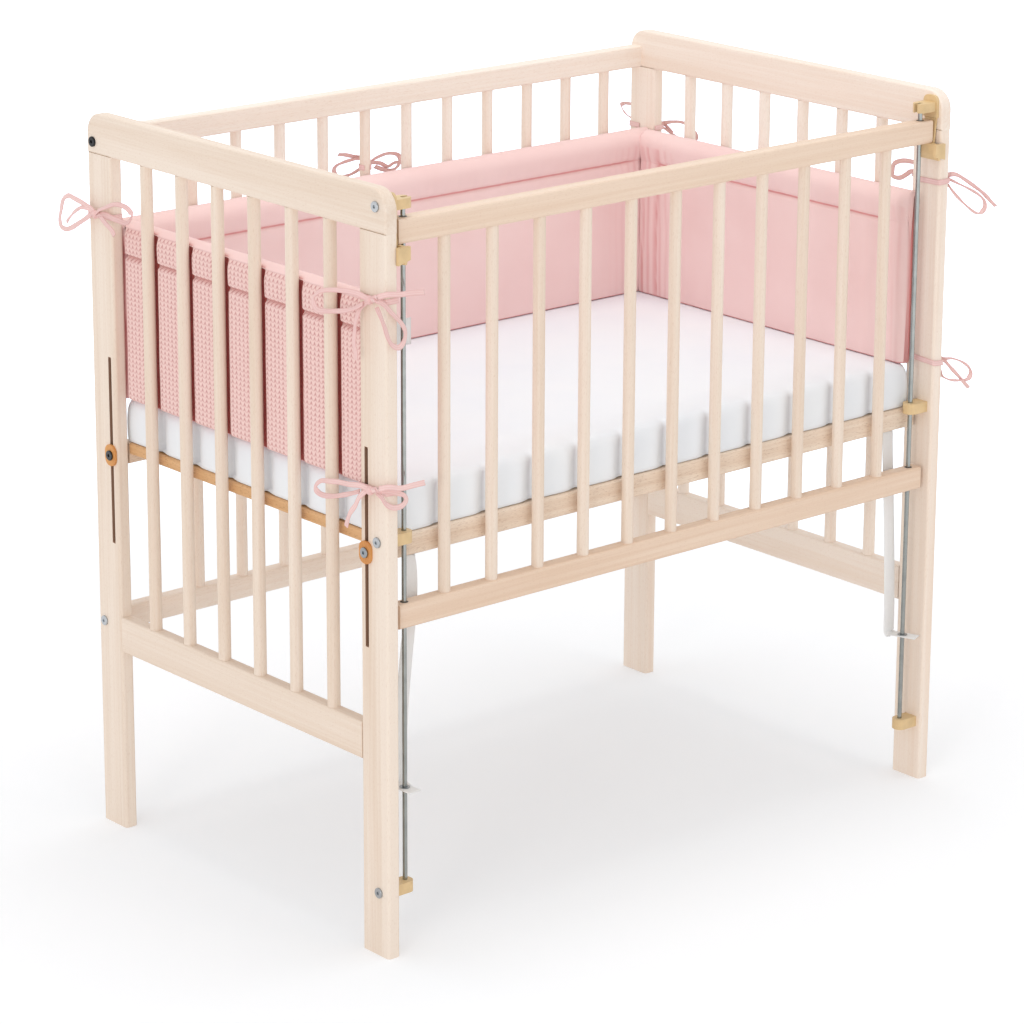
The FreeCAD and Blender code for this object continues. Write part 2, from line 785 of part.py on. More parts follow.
def end_beam(name, x_sign):
    """A lower end beam of the base, flush with the top of the two side beams."""
    x = "%d * (beam_half - beam_width / 2)" % x_sign
    inside = "base_y - beam_width / 2"
    blank = block(name + "_blank", ("beam_width", "2 * (%s)" % inside, "end_beam_height"),
                  (x, "0", "base_top - end_beam_height / 2"))
    soft = rounded(blank, "rail_round", along_axis(1))
    tools = []
    for end, y_sign in ENDS:
        tools.append(round_bar(
            "%s_%s_dowel" % (name, end), "base_dowel_diameter + 2 * glue_gap",
            "base_dowel_length + 1", (x, "%d * (%s)" % (y_sign, inside), "base_dowel_z"), "y"))
    return node(name, cut(name, soft, tools))


long_beam("base_front_beam", -1)
long_beam("base_back_beam", 1)
for side, sign in SIDES:
    end_beam("base_end_beam_" + side, sign)


def slat(index, x):
    """A slat with two countersunk screw holes."""
    name = "slat_%d" % index
    blank = block(name + "_blank", ("slat_width", "2 * (%s)" % slat_half, "slat_thickness"),
                  (x, "0", "base_top - slat_thickness / 2"))
    soft = rounded(blank, "slat_round", along_axis(1))
    tools = []
    for end, y_sign in ENDS:
        y = "%d * (%s)" % (y_sign, slat_screw_y)
        tools.append(round_bar("%s_%s_bore" % (name, end), pilot, "3 * slat_thickness",
                               (x, y, "base_top"), "z"))
        tools.append(round_bar("%s_%s_sink" % (name, end), "wood_screw_head + 2 * glue_gap",
                               "2 * wood_screw_head_height + 1", (x, y, "base_top"), "z"))
    return cut(name, soft, tools)


def wood_screw(name, x, y, z, up):
    """A small screw: a flat head and a plain shank."""
    head = round_bar(name + "_head", "wood_screw_head", "wood_screw_head_height",
                     (x, y, "(%s) + %d * wood_screw_head_height / 2" % (z, up)), "z")
    shank = round_bar(name + "_shank", "wood_screw_diameter", "wood_screw_length",
                      (x, y, "(%s) + %d * (wood_screw_head_height - wood_screw_length / 2)"
                       % (z, up)), "z")
    return joined(name, [head, shank])


group("base_slats", [slat(index, x) for index, x in enumerate(slat_xs)])
group("slat_screws", [
    wood_screw("slat_screw_%d_%s" % (index, end), x, "%d * (%s)" % (y_sign, slat_screw_y),
               "base_top - wood_screw_head_height - 0.5", 1)
    for index, x in enumerate(slat_xs) for end, y_sign in ENDS
])

base_dowels = []
base_bolts = []
base_nuts = []
washers = []
for side, sign in SIDES:
    for end, end_sign in ENDS:
        tag = "%s_%s" % (end, side)
        y = "%d * base_y" % end_sign
        base_dowels.append(round_bar(
            "base_dowel_" + tag, "base_dowel_diameter", "base_dowel_length",
            ("%d * (beam_half - beam_width / 2)" % sign,
             "%d * (base_y - beam_width / 2)" % end_sign, "base_dowel_z"), "y"))
        base_bolts.append(headed("base_bolt_" + tag, sign, "bolt_diameter",
                                 "length / 2 + slide_gap + washer_thickness", "base_bolt_grip",
                                 y, "beam_z"))
        base_nuts.append(barrel_nut("base_nut_" + tag, "%d * (%s)" % (sign, base_nut_x), y,
                                    "beam_z"))
        plate_x = "%d * (length / 2 + slide_gap + washer_thickness / 2)" % sign
        plate = block("washer_%s_blank" % tag,
                      ("washer_thickness", "washer_width", "washer_height"),
                      (plate_x, y, "beam_z"))
        washers.append(cut("washer_" + tag, rounded(plate, "washer_round", along_axis(0)), [
            round_bar("washer_%s_bore" % tag, "bolt_diameter + 2 * glue_gap", "2 * board",
                      (plate_x, y, "beam_z"), "x")]))
group("base_dowels", base_dowels)
group("base_bolts", base_bolts)
group("base_nuts", base_nuts)
group("base_washers", washers)

# ---------------------------------------------------------------- mattress and bumper


def soft_section(half_x, front, back, corner, z):
    """A closed outline of lines and quarter arcs at one height of the mattress."""
    turn = corner * (1 - math.sqrt(0.5))
    points = []
    for sx, sy in ((1, -1), (1, 1), (-1, 1), (-1, -1)):
        y = front if sy < 0 else back
        before = Vector(sx * (half_x - corner), y, z)
        after = Vector(sx * half_x, y - sy * corner, z)
        middle = Vector(sx * (half_x - turn), y - sy * turn, z)
        points.append((before, middle, after) if sx * sy < 0 else (after, middle, before))
    edges = []
    for index, (first, middle, last) in enumerate(points):
        edges.append(Part.Arc(first, middle, last).toShape())
        edges.append(Part.makeLine(last, points[(index + 1) % 4][0]))
    return Part.Wire(edges)


def mattress():
    """The mattress: drawn-in lower edge, rounded shoulder and a slight crown."""
    height = size("mattress_height")
    floor = size("mattress_floor")
    profile = ((6, 0), (1.5, 0.07), (0, 0.4), (1.5, 0.73), (8, 0.87), (24, 0.93), (90, 0.98),
               (160, 1))
    half_x = size("inner_x") - size("mattress_end_gap")
    front = size("mattress_front_inset") - size("depth") / 2
    back = size("depth") / 2 - size("mattress_back_inset")
    wires = []
    for inset, share in profile:
        wires.append(soft_section(half_x - inset, front + inset, back - inset,
                                  size("mattress_corner"), floor + share * height))
    return shaped("mattress", Part.makeLoft(wires, True, True))


mattress()


def bumper_profile(thin, bulge):
    """Outline of a bumper panel: thickness from its outer face against height."""
    low = size("base_top") + size("bumper_lift")
    high = low + size("bumper_height")
    seam = high - size("bumper_roll")
    deep = size("bumper_thickness")
    middle = deep / 2
    half = [(middle - 4, low, 0), (1, low + 14, 0.7), (0.4, low + 45, 1),
            (0, (low + seam) / 2, 1), (0.4, seam - 45, 1), (1.2, seam - 12, 0.9),
            (size("bumper_tuck"), seam, 0.4), (1, seam + 9, 0.8), (0, (seam + high) / 2, 1),
            (1.6, high - 9, 0.7), (middle - 4, high, 0)]
    outline = [(middle + (t - middle) * thin - bulge * share, z) for t, z, share in half]
    outline += [(middle + (middle - t) * thin, z) for t, z, share in reversed(half)]
    return outline


def bumper(name, run_axis, outer, inward, first, last, valleys):
    """A padded panel along x or y, bulging outward between the bars it is drawn against."""
    puff = size("bumper_puff")
    stations = [(first, 0.55, 0), (first + 3, 0.85, 0)]
    for start, end in zip(valleys[:-1], valleys[1:]):
        step = end - start
        stations += [(start, 1, 0), (start + 0.16 * step, 1, puff * 0.6),
                     (start + 0.5 * step, 1, puff), (start + 0.84 * step, 1, puff * 0.6)]
    stations += [(valleys[-1], 1, 0), (last - 3, 0.85, 0), (last, 0.55, 0)]
    wires = []
    for place, thin, bulge in stations:
        corners = []
        for t, z in bumper_profile(thin, bulge):
            across = outer + inward * t
            corners.append(Vector(place, across, z) if run_axis == "x"
                           else Vector(across, place, z))
        wires.append(Part.makePolygon(corners + corners[:1]))
    return shaped(name, Part.makeLoft(wires, True, True))


def even_places(half_span, count):
    """Evenly spaced places from -half_span to half_span."""
    return [half_span * (2 * index / (count - 1) - 1) for index in range(count)]


bumper_out = size("inner_x") - size("bumper_side_gap")
bumper_front = size("bumper_front_inset") - size("depth") / 2
back_face = size("depth") / 2 - size("bumper_back_inset")
side_end = back_face - size("bumper_thickness") - size("bumper_joint_gap")
clear_y = size("inner_y") - 8
clear_x = size("inner_x") - 8
end_bars = even_places(size("inner_y") - size("end_spindle_margin"), END_SPINDLES)
back_bars = even_places(size("inner_x") - size("back_spindle_margin"), BACK_SPINDLES)
end_valleys = [-clear_y] + end_bars + [clear_y]
bumper("bumper_left", "y", -bumper_out, 1, bumper_front, side_end, end_valleys)
bumper("bumper_right", "y", bumper_out, -1, bumper_front, side_end, end_valleys)
bumper("bumper_back", "x", back_face, -1, -bumper_out, bumper_out,
       [-clear_x] + back_bars + [clear_x])

# ---------------------------------------------------------------- straps


def ribbon(points, width, thickness, across):
    """A flat band lofted through a path; each point may shift, the width runs along across."""
    wires = []
    side = Vector(*across).normalize()
    for index, point in enumerate(points):
        before = points[max(index - 1, 0)]
        after = points[min(index + 1, len(points) - 1)]
        run = (after - before)
        run = (run - side * run.dot(side)).normalize()
        normal = run.cross(side)
        reach = side * (width / 2)
        lift = normal * (thickness / 2)
        corners = [point + reach + lift, point - reach + lift, point - reach - lift,
                   point + reach - lift]
        wires.append(Part.makePolygon(corners + corners[:1]))
    return Part.makeLoft(wires, True, True)


def strap(name, x_sign, drift, tail_drift):
    """Webbing from under the front beam down to the eyelet round the guide rod."""
    thick = size("strap_thickness")
    bend = size("strap_bend")
    hang_y = size("strap_setback") - size("depth") / 2
    top_z = size("base_top") - size("beam_height") - thick / 2 - size("fixing_gap")
    low_z = size("eyelet_level")
    top_x = size("inner_x") - size("strap_top_inset")
    rod_x = size("rod_x")
    path = [(top_x, size("strap_inner_end"), top_z)]
    for step in range(5):
        angle = math.radians(22.5 * step)
        path.append((top_x, hang_y + bend * (1 - math.sin(angle)),
                     top_z - bend * (1 - math.cos(angle))))
    path.append((top_x + drift * 0.2, hang_y, top_z - 90))
    for step in range(5):
        angle = math.radians(22.5 * step)
        path.append((top_x + drift, hang_y - bend * (1 - math.cos(angle)),
                     low_z + bend * (1 - math.sin(angle))))
    path.append((rod_x, size("gate_y"), low_z))
    path.append((rod_x + tail_drift, size("gate_y") - size("strap_tail"), low_z))
    points = [Vector(x_sign * x, y, z) for x, y, z in path]
    band = ribbon(points, size("strap_width"), thick, (1, 0, 0))
    rod_y = size("gate_y")
    hole = size("eyelet_hole") / 2 + size("eyelet_wall") + size("glue_gap")
    screw_hole = size("wood_screw_diameter") / 2 + size("glue_gap")
    tools = [
        Part.makeCylinder(hole, 8, Vector(x_sign * rod_x, rod_y, low_z - 4)),
        Part.makeCylinder(screw_hole, 8, Vector(x_sign * top_x, size("strap_screw_y"), top_z - 4)),
    ]
    return shaped(name, band.cut(tools))


def eyelet(x_sign):
    """A metal eyelet clinched in the strap, sliding on the guide rod."""
    half = size("eyelet_thickness") / 2
    inner = size("eyelet_hole") / 2
    outer = inner + size("eyelet_rim")
    wall = inner + size("eyelet_wall")
    grip = size("strap_thickness") / 2 + size("glue_gap")
    outline = [(inner, -half), (outer, -half), (outer, -grip), (wall, -grip), (wall, grip),
               (outer, grip), (outer, half), (inner, half)]
    face = Part.Face(Part.makePolygon([Vector(r, 0, z) for r, z in outline + outline[:1]]))
    ring = face.revolve(Vector(), Vector(0, 0, 1), 360)
    ring.translate(Vector(x_sign * size("rod_x"), size("gate_y"), size("eyelet_level")))
    return ring


strap("strap_left", -1, 14, -1)
strap("strap_right", 1, 14, 8)
shaped("strap_eyelets", Part.makeCompound([eyelet(sign) for side, sign in SIDES]))
group("strap_screws", [
    wood_screw("strap_screw_" + side, "%d * (inner_x - strap_top_inset)" % sign, "strap_screw_y",
               "base_top - beam_height - strap_thickness - 2 * fixing_gap", -1)
    for side, sign in SIDES
])

# ---------------------------------------------------------------- ties and care tag

tape_wide = size("tape_width")
tape_thick = size("tape_thickness")
tape_off = size("tape_gap") + tape_thick / 2


def bow(knot, normal, loops, tails):
    """A knot with open loops and flat tails; each is given from the knot: out, along, up."""
    out = Vector(*normal)
    along = Vector(abs(out.y), abs(out.x), 0)
    centre = Vector(*knot)
    wide = size("knot_size")
    lump = Part.makeBox(wide, wide, wide, centre - Vector(wide / 2, wide / 2, wide / 2))
    pieces = [lump.makeChamfer(size("knot_bevel"), lump.Edges)]

    def place(step):
        return centre + out * step[0] + along * step[1] + Vector(0, 0, step[2])

    for tip in loops:
        reach = place(tip) - centre
        side = out.cross(reach).normalize()
        shift = reach.Length * 0.13
        outline = [centre, centre + reach * 0.3 + side * shift * 0.8,
                   centre + reach * 0.7 + side * shift, centre + reach * 0.93 + side * shift * 0.7,
                   centre + reach, centre + reach * 0.93 - side * shift * 0.7,
                   centre + reach * 0.7 - side * shift, centre + reach * 0.3 - side * shift * 0.8]
        face = Part.Face(Part.makePolygon(outline + outline[:1]))
        ring = face.cut(face.makeOffset2D(-tape_thick))
        across = reach.cross(side).normalize()
        ring.translate(across * (-tape_wide / 2))
        pieces.append(ring.extrude(across * tape_wide))
    for steps in tails:
        path = [centre] + [place(step) for step in steps]
        side = out.cross(path[-1] - centre).normalize()
        pieces.append(ribbon(path, tape_wide, tape_thick, tuple(side)))
    return pieces


def wrap(path, level):
    """Tape standing on edge round a post, given as corner points of its middle line."""
    pieces = []
    for start, end in zip(path[:-1], path[1:]):
        low_x = min(start[0], end[0]) - tape_thick / 2
        low_y = min(start[1], end[1]) - tape_thick / 2
        pieces.append(Part.makeBox(
            abs(end[0] - start[0]) + tape_thick, abs(end[1] - start[1]) + tape_thick, tape_wide,
            Vector(low_x, low_y, level - tape_wide / 2)))
    return pieces


def tie(name, wraps, knot, normal, loops, tails):
    """One tie: the tape round the wood and its bow, as one soft piece."""
    pieces = wraps + bow(knot, normal, loops, tails)
    whole = pieces[0]
    for piece in pieces[1:]:
        whole = whole.fuse(piece)
    return shaped(name, whole.removeSplitter())


def front_wrap(x_sign, level):
    """The tape from the bumper end round the front post."""
    inside = x_sign * (size("inner_x") - tape_off)
    outside = x_sign * (size("length") / 2 + tape_off)
    front = -(size("depth") / 2 + tape_off)
    rear = -(size("inner_y") - tape_off)
    return wrap([(inside, bumper_front - 0.9), (inside, front), (outside, front), (outside, rear),
                 (x_sign * (size("inner_x") + 1), rear)], level)


def back_wrap(x_sign, level):
    """The tape from the bumper corner round the back post."""
    inside = x_sign * (size("inner_x") - tape_off)
    outside = x_sign * (size("length") / 2 + tape_off)
    rear = size("depth") / 2 + tape_off
    ahead = size("inner_y") - tape_off
    return wrap([(x_sign * (size("inner_x") + 1), ahead), (outside, ahead), (outside, rear),
                 (inside, rear), (inside, back_face + 0.9)], level)


def spindle_wrap(x, level):
    """The tape round a back spindle."""
    radius = size("side_spindle_diameter") / 2 + size("tape_gap")
    centre = Vector(x, size("side_y"), level - tape_wide / 2)
    outer = Part.makeCylinder(radius + tape_thick, tape_wide, centre)
    return [outer.cut(Part.makeCylinder(radius, tape_wide, centre))]


bumper_low = size("base_top") + size("bumper_lift")
bumper_high = bumper_low + size("bumper_height")
upper = bumper_high + size("tie_upper")
lower = bumper_low + size("tie_lower")
face_out = size("length") / 2 + size("knot_size") / 2 + 0.7
knot_y = size("depth") / 2 - 20
hang = 13

tie("tie_front_left_upper", front_wrap(-1, upper), (-face_out, -knot_y, upper), (-1, 0, 0),
    [(hang, 90, -20), (hang, -55, -26)],
    [[(hang, -22, -34), (hang, -28, -62)], [(hang, 8, -40), (hang, 12, -72)]])
tie("tie_front_left_lower", front_wrap(-1, lower), (-face_out, -knot_y, lower), (-1, 0, 0),
    [(hang, 88, -12), (hang, -55, 12)],
    [[(hang, -22, -26), (hang, -30, -56)], [(hang, 20, -24), (hang, 42, -72)]])
tie("tie_back_left", back_wrap(-1, upper + 1), (-face_out, knot_y - 6, upper + 1), (-1, 0, 0),
    [(hang, 61, -14), (hang, -96, 16)], [[(hang, -32, -14), (hang, -54, -17)]])
tie("tie_back_right", back_wrap(1, upper - 7), (face_out, knot_y - 6, upper - 7), (1, 0, 0),
    [(hang, 61, 8), (hang, -76, -18)], [[(hang, -10, -24), (hang, -16, -52)]])
tie("tie_front_right_upper", front_wrap(1, upper + 4), (face_out, -knot_y, upper + 4), (1, 0, 0),
    [(hang, -55, -14), (hang, 82, -18)],
    [[(hang, -32, -2), (hang, -53, -12)], [(hang, 16, -36), (hang, 22, -66)]])
tie("tie_front_right_lower", front_wrap(1, lower), (face_out, -knot_y, lower), (1, 0, 0),
    [(hang, -55, -6), (hang, 78, -20)],
    [[(hang, -34, -24), (hang, -48, -44)], [(hang, 16, -32), (hang, 24, -60)]])
middle_out = size("side_y") + size("side_spindle_diameter") / 2 + size("knot_size") / 2 + 0.7
tie("tie_back_middle", spindle_wrap(back_bars[5], upper), (back_bars[5], middle_out, upper),
    (0, 1, 0), [(6, -62, -22), (6, 62, -22)],
    [[(6, -14, -30), (6, -20, -62)], [(6, 12, -30), (6, 18, -66)]])

tag_x = size("bumper_thickness") - size("tag_hold") - bumper_out
tag = Part.makeBox(size("tag_width"), size("tag_thickness"), size("tag_height"),
                   Vector(tag_x, bumper_front - size("soft_gap") - size("tag_thickness"),
                          bumper_high - size("tag_drop") - size("tag_height")))
shaped("care_tag", tag)

# ---------------------------------------------------------------- checks and export

doc.recompute()
for thing in doc.Objects:
    if "Invalid" in thing.State or "Error" in thing.State:
        raise RuntimeError("not recomputed: %s" % thing.Name)

solids = 0
for part in nodes:
    shape = part.Shape
    if shape.isNull() or not shape.isValid() or not shape.Solids:
        raise RuntimeError("bad shape: %s" % part.Label)
    for body in shape.Solids:
        if body.Volume < 1:
            raise RuntimeError("a sliver in %s" % part.Label)
    solids += len(shape.Solids)
    shape.exportStep("parts/%s.step" % part.Label)
print("nodes", len(nodes), "solids", solids)
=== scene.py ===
import bpy
import json
import math
import numpy as np
from mathutils import Euler, Matrix, Vector, noise

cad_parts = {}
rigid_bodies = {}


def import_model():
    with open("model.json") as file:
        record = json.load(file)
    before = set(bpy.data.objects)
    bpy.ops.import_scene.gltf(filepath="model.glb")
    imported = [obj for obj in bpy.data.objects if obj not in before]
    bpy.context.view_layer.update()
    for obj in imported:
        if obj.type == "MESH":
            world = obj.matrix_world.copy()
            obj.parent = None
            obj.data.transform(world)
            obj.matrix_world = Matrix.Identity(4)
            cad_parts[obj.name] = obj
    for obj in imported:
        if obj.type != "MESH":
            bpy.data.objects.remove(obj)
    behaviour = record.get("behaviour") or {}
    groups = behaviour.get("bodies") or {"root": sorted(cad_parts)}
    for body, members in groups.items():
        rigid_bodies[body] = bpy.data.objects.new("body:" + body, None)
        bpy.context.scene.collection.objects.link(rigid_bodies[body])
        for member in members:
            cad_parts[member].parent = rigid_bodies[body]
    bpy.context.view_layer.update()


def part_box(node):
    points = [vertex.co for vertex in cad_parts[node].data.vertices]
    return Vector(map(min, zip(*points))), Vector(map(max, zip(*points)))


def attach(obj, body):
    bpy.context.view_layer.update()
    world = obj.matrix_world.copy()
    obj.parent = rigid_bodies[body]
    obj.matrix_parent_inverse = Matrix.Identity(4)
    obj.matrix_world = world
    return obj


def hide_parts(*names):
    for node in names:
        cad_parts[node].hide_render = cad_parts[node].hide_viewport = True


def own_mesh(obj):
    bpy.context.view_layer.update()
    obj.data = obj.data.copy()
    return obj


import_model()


# ---------------------------------------------------------------- materials

def rgb(red, green, blue):
    """A colour given in display values from 0 to 255, as linear values for a shader."""
    out = []
    for value in (red, green, blue):
        value /= 255
        out.append(value / 12.92 if value <= 0.04045 else ((value + 0.055) / 1.055) ** 2.4)
    return (*out, 1.0)


class Finish:
    """A Principled material built from nodes in object space, in metres."""

    def __init__(self, name, roughness=0.5, metallic=0.0, specular=0.5, sheen=0.0):
        self.mat = bpy.data.materials.new(name)
        self.mat.use_nodes = True
        self.tree = self.mat.node_tree
        self.shader = self.tree.nodes["Principled BSDF"]
        self.shader.inputs["Roughness"].default_value = roughness
        self.shader.inputs["Metallic"].default_value = metallic
        self.shader.inputs["Specular IOR Level"].default_value = specular
        if sheen:
            self.shader.inputs["Sheen Weight"].default_value = sheen
            self.shader.inputs["Sheen Roughness"].default_value = 0.4
        self.space = self.tree.nodes.new("ShaderNodeTexCoord").outputs["Object"]

    def wire(self, source, target):
        """Set a socket to a constant, or link another socket to it."""
        if isinstance(source, (int, float, tuple)):
            target.default_value = source
        else:
            self.tree.links.new(source, target)

    def math(self, kind, a, b=0.0, c=0.0):
        """The output of a Math node."""
        node = self.tree.nodes.new("ShaderNodeMath")
        node.operation = kind
        for slot, value in zip(node.inputs, (a, b, c)):
            self.wire(value, slot)
        return node.outputs[0]

    def axes(self):
        """The x, y and z of a point, in metres."""
        node = self.tree.nodes.new("ShaderNodeSeparateXYZ")
        self.wire(self.space, node.inputs[0])
        return node.outputs

    def stretch(self, x, y, z):
        """Object space scaled by a different amount along each axis."""
        node = self.tree.nodes.new("ShaderNodeMapping")
        node.inputs["Scale"].default_value = (x, y, z)
        self.wire(self.space, node.inputs["Vector"])
        return node.outputs[0]

    def noise(self, where, detail, rough=0.5, bend=0.0):
        """Noise from 0 to 1; its scale comes from the space that it is read in."""
        node = self.tree.nodes.new("ShaderNodeTexNoise")
        self.wire(where, node.inputs["Vector"])
        node.inputs["Scale"].default_value = 1.0
        node.inputs["Detail"].default_value = detail
        node.inputs["Roughness"].default_value = rough
        node.inputs["Distortion"].default_value = bend
        return node.outputs["Fac"]

    def ramp(self, factor, *stops):
        """A Color Ramp with (place, colour or grey value) stops."""
        node = self.tree.nodes.new("ShaderNodeValToRGB")
        while len(node.color_ramp.elements) < len(stops):
            node.color_ramp.elements.new(0.5)
        for element, (place, colour) in zip(node.color_ramp.elements, stops):
            element.position = place
            element.color = colour if isinstance(colour, tuple) else (colour,) * 3 + (1,)
        self.wire(factor, node.inputs[0])
        return node.outputs[0]

    def mix(self, factor, a, b):
        """Colour a where the factor is 0, and b where it is 1."""
        node = self.tree.nodes.new("ShaderNodeMix")
        node.data_type = "RGBA"
        self.wire(factor, node.inputs[0])
        self.wire(a, node.inputs[6])
        self.wire(b, node.inputs[7])
        return node.outputs[2]

    def attribute(self, name):
        """A value kept on the points of the mesh, 0 where there is none."""
        node = self.tree.nodes.new("ShaderNodeAttribute")
        node.attribute_name = name
        return node.outputs["Fac"]

    def bump(self, height, strength, depth):
        """A normal from a height; depth is in metres."""
        node = self.tree.nodes.new("ShaderNodeBump")
        node.inputs["Strength"].default_value = strength
        node.inputs["Distance"].default_value = depth
        self.wire(height, node.inputs["Height"])
        return node.outputs[0]

    def finish(self, colour=None, roughness=None, normal=None):
        """Wire what is given into the shader and return the material."""
        for name, value in (("Base Color", colour), ("Roughness", roughness), ("Normal", normal)):
            if value is not None:
                self.wire(value, self.shader.inputs[name])
        return self.mat


def darker(colour, share):
    """The same colour with a share of its brightness."""
    return tuple(c * share for c in colour[:3]) + (1,)


# Where the posts' slots are, in metres: distance from the middle, half width, lower and upper end.
SLOT_Y, SLOT_HALF, SLOT_LOW, SLOT_HIGH = 0.260, 0.0032, 0.389, 0.636
# Painted shade within the slots, as a brown.
SLOT_SHADE = rgb(140, 92, 58)
# Noise scales of wood, along the grain and across it.
BANDS, STREAKS, FLECKS = (0.8, 19.0), (4.0, 260.0), (210.0, 1500.0)


def wood(name, axis, light, dark, fleck, speck=0.22, shaded_slot=False):
    """Beech: soft growth bands, fine streaks and short faint flecks along one axis.

    A post with a slot gets painted shade, a brown, within the long slot for its base bolt.
    """
    m = Finish(name, roughness=0.48, specular=0.35)

    def along(run, across):
        return m.stretch(*[run if k == axis else across for k in range(3)])

    bands = m.noise(along(*BANDS), 3.0, 0.55, 0.45)
    streaks = m.noise(along(*STREAKS), 3.0, 0.6)
    tone = m.math("ADD", m.math("MULTIPLY", bands, 0.66), m.math("MULTIPLY", streaks, 0.34))
    colour = m.ramp(tone, (0.36, dark), (0.60, light))
    dashes = m.noise(along(*FLECKS), 1.0, 0.4)
    specks = m.ramp(dashes, (0.60, 0.0), (0.72, speck))
    colour = m.mix(specks, colour, fleck)
    # Painted shade: brown over the walls of the slot.
    if shaded_slot:
        x, y, z = m.axes()
        off = m.math("ABSOLUTE", m.math("SUBTRACT", m.math("ABSOLUTE", y), SLOT_Y))
        shade_in_slot = m.math("MULTIPLY", m.math("LESS_THAN", off, SLOT_HALF), 0.8)
        shade_in_slot = m.math("MULTIPLY", shade_in_slot, m.math("GREATER_THAN", z, SLOT_LOW))
        shade_in_slot = m.math("MULTIPLY", shade_in_slot, m.math("LESS_THAN", z, SLOT_HIGH))
        colour = m.mix(shade_in_slot, colour, SLOT_SHADE)
    rough = m.math("MULTIPLY_ADD", streaks, 0.16, 0.40)
    normal = m.bump(m.math("SUBTRACT", streaks, m.math("MULTIPLY", dashes, 0.3)), 0.18, 0.0003)
    return m.finish(colour, rough, normal)


EVEN = (400.0, 400.0, 400.0)    # draw marks of the same scale along every axis


def metal(name, colour, roughness, run=EVEN, above=None):
    """Plated steel with draw marks and mottling; another colour above a value on one axis."""
    m = Finish(name, roughness=roughness, metallic=1.0)
    marks = m.noise(m.stretch(*run), 2.0)
    cloud = m.noise(m.stretch(60.0, 60.0, 60.0), 2.0)
    shade = m.mix(m.ramp(cloud, (0.3, 0.0), (0.7, 1.0)), darker(colour, 0.82), colour)
    if above:
        axis, level, other = above
        shade = m.mix(m.math("GREATER_THAN", m.axes()[axis], level), shade, other)
    rough = m.math("MULTIPLY_ADD", marks, 0.18, roughness - 0.09)
    return m.finish(shade, rough, m.bump(marks, 0.08, 0.0002))


def plastic(name, colour, roughness):
    """Moulded plastic with a faint grain and a slight unevenness of tone."""
    m = Finish(name, roughness=roughness, specular=0.45)
    cloud = m.noise(m.stretch(55.0, 55.0, 55.0), 3.0)
    grain = m.noise(m.stretch(1500.0, 1500.0, 1500.0), 1.0)
    shade = m.mix(m.ramp(cloud, (0.35, 0.0), (0.65, 1.0)), darker(colour, 0.86), colour)
    rough = m.math("MULTIPLY_ADD", grain, 0.12, roughness - 0.06)
    return m.finish(shade, rough, m.bump(grain, 0.15, 0.0002))


def woven(m, pitch):
    """Height of a plain weave of the given thread pitch in metres, on any face."""
    x, y, z = m.axes()
    turn = 2 * math.pi / pitch
    threads = [m.math("SINE", m.math("MULTIPLY", value, turn)) for value in (x, y, z)]
    pair = m.math("MULTIPLY", threads[0], threads[1])
    pair = m.math("ADD", pair, m.math("MULTIPLY", threads[1], threads[2]))
    return m.math("ADD", pair, m.math("MULTIPLY", threads[0], threads[2]))


def cotton(name, light, deep, crease, pitch=0.0011, sheen=0.15, weave=0.12):
    """Smooth cotton: fine weave and slubs, with painted shade mixing in a deeper colour in folds,
    valleys, seams and where parts meet.
    """
    m = Finish(name, roughness=0.82, specular=0.15, sheen=sheen)
    cloud = m.noise(m.stretch(9.0, 9.0, 9.0), 3.0)
    slubs = m.noise(m.stretch(70.0, 70.0, 420.0), 2.0)
    colour = m.mix(m.ramp(cloud, (0.3, 0.0), (0.7, 1.0)), deep, light)
    colour = m.mix(m.ramp(slubs, (0.62, 0.0), (0.8, 0.25)), colour, deep)
    # Painted shade: the mesh's share mixes in the shade colour, in folds, valleys, seams and
    # contacts.
    colour = m.mix(m.attribute("crease"), colour, crease)
    height = m.math("ADD", m.math("MULTIPLY", woven(m, pitch), 0.3), slubs)
    return m.finish(colour, None, m.bump(height, weave, 0.0006))


WAFFLE_WIDE, WAFFLE_TALL = 0.0078, 0.0062    # one arch of the waffle weave, in metres


def pique(name, light, deep, crease, run):
    """Waffle pique: upright columns of small arches, with painted shade darkening the pits between
    them.
    """
    m = Finish(name, roughness=0.9, specular=0.1, sheen=0.2)
    x, y, z = m.axes()
    sway = m.noise(m.stretch(60.0, 60.0, 60.0), 2.0)
    across = m.math("MULTIPLY_ADD", sway, 0.0024, x if run == 0 else y)
    column = m.math("ABSOLUTE", m.math("SINE", m.math("MULTIPLY", across, math.pi / WAFFLE_WIDE)))
    rows = m.math("SINE", m.math("ADD", m.math("MULTIPLY", z, 2 * math.pi / WAFFLE_TALL),
                                 m.math("MULTIPLY", column, 3.6)))
    lump = m.math("MULTIPLY_ADD", rows, 0.5, 0.5)
    height = m.math("ADD", m.math("MULTIPLY", column, 0.55), m.math("MULTIPLY", lump, 0.65))
    cloud = m.noise(m.stretch(260.0, 260.0, 260.0), 3.0)
    uneven = m.math("ADD", height, m.math("MULTIPLY", cloud, 0.5))
    # Painted shade: the colour darkens with the weave's depth, most in the pits, with some random
    # unevenness.
    colour = m.ramp(uneven, (0.42, deep), (1.0, light))
    # Painted shade from the mesh's share, in valleys, seams and contacts.
    colour = m.mix(m.attribute("crease"), colour, crease)
    return m.finish(colour, None, m.bump(uneven, 0.5, 0.0012))
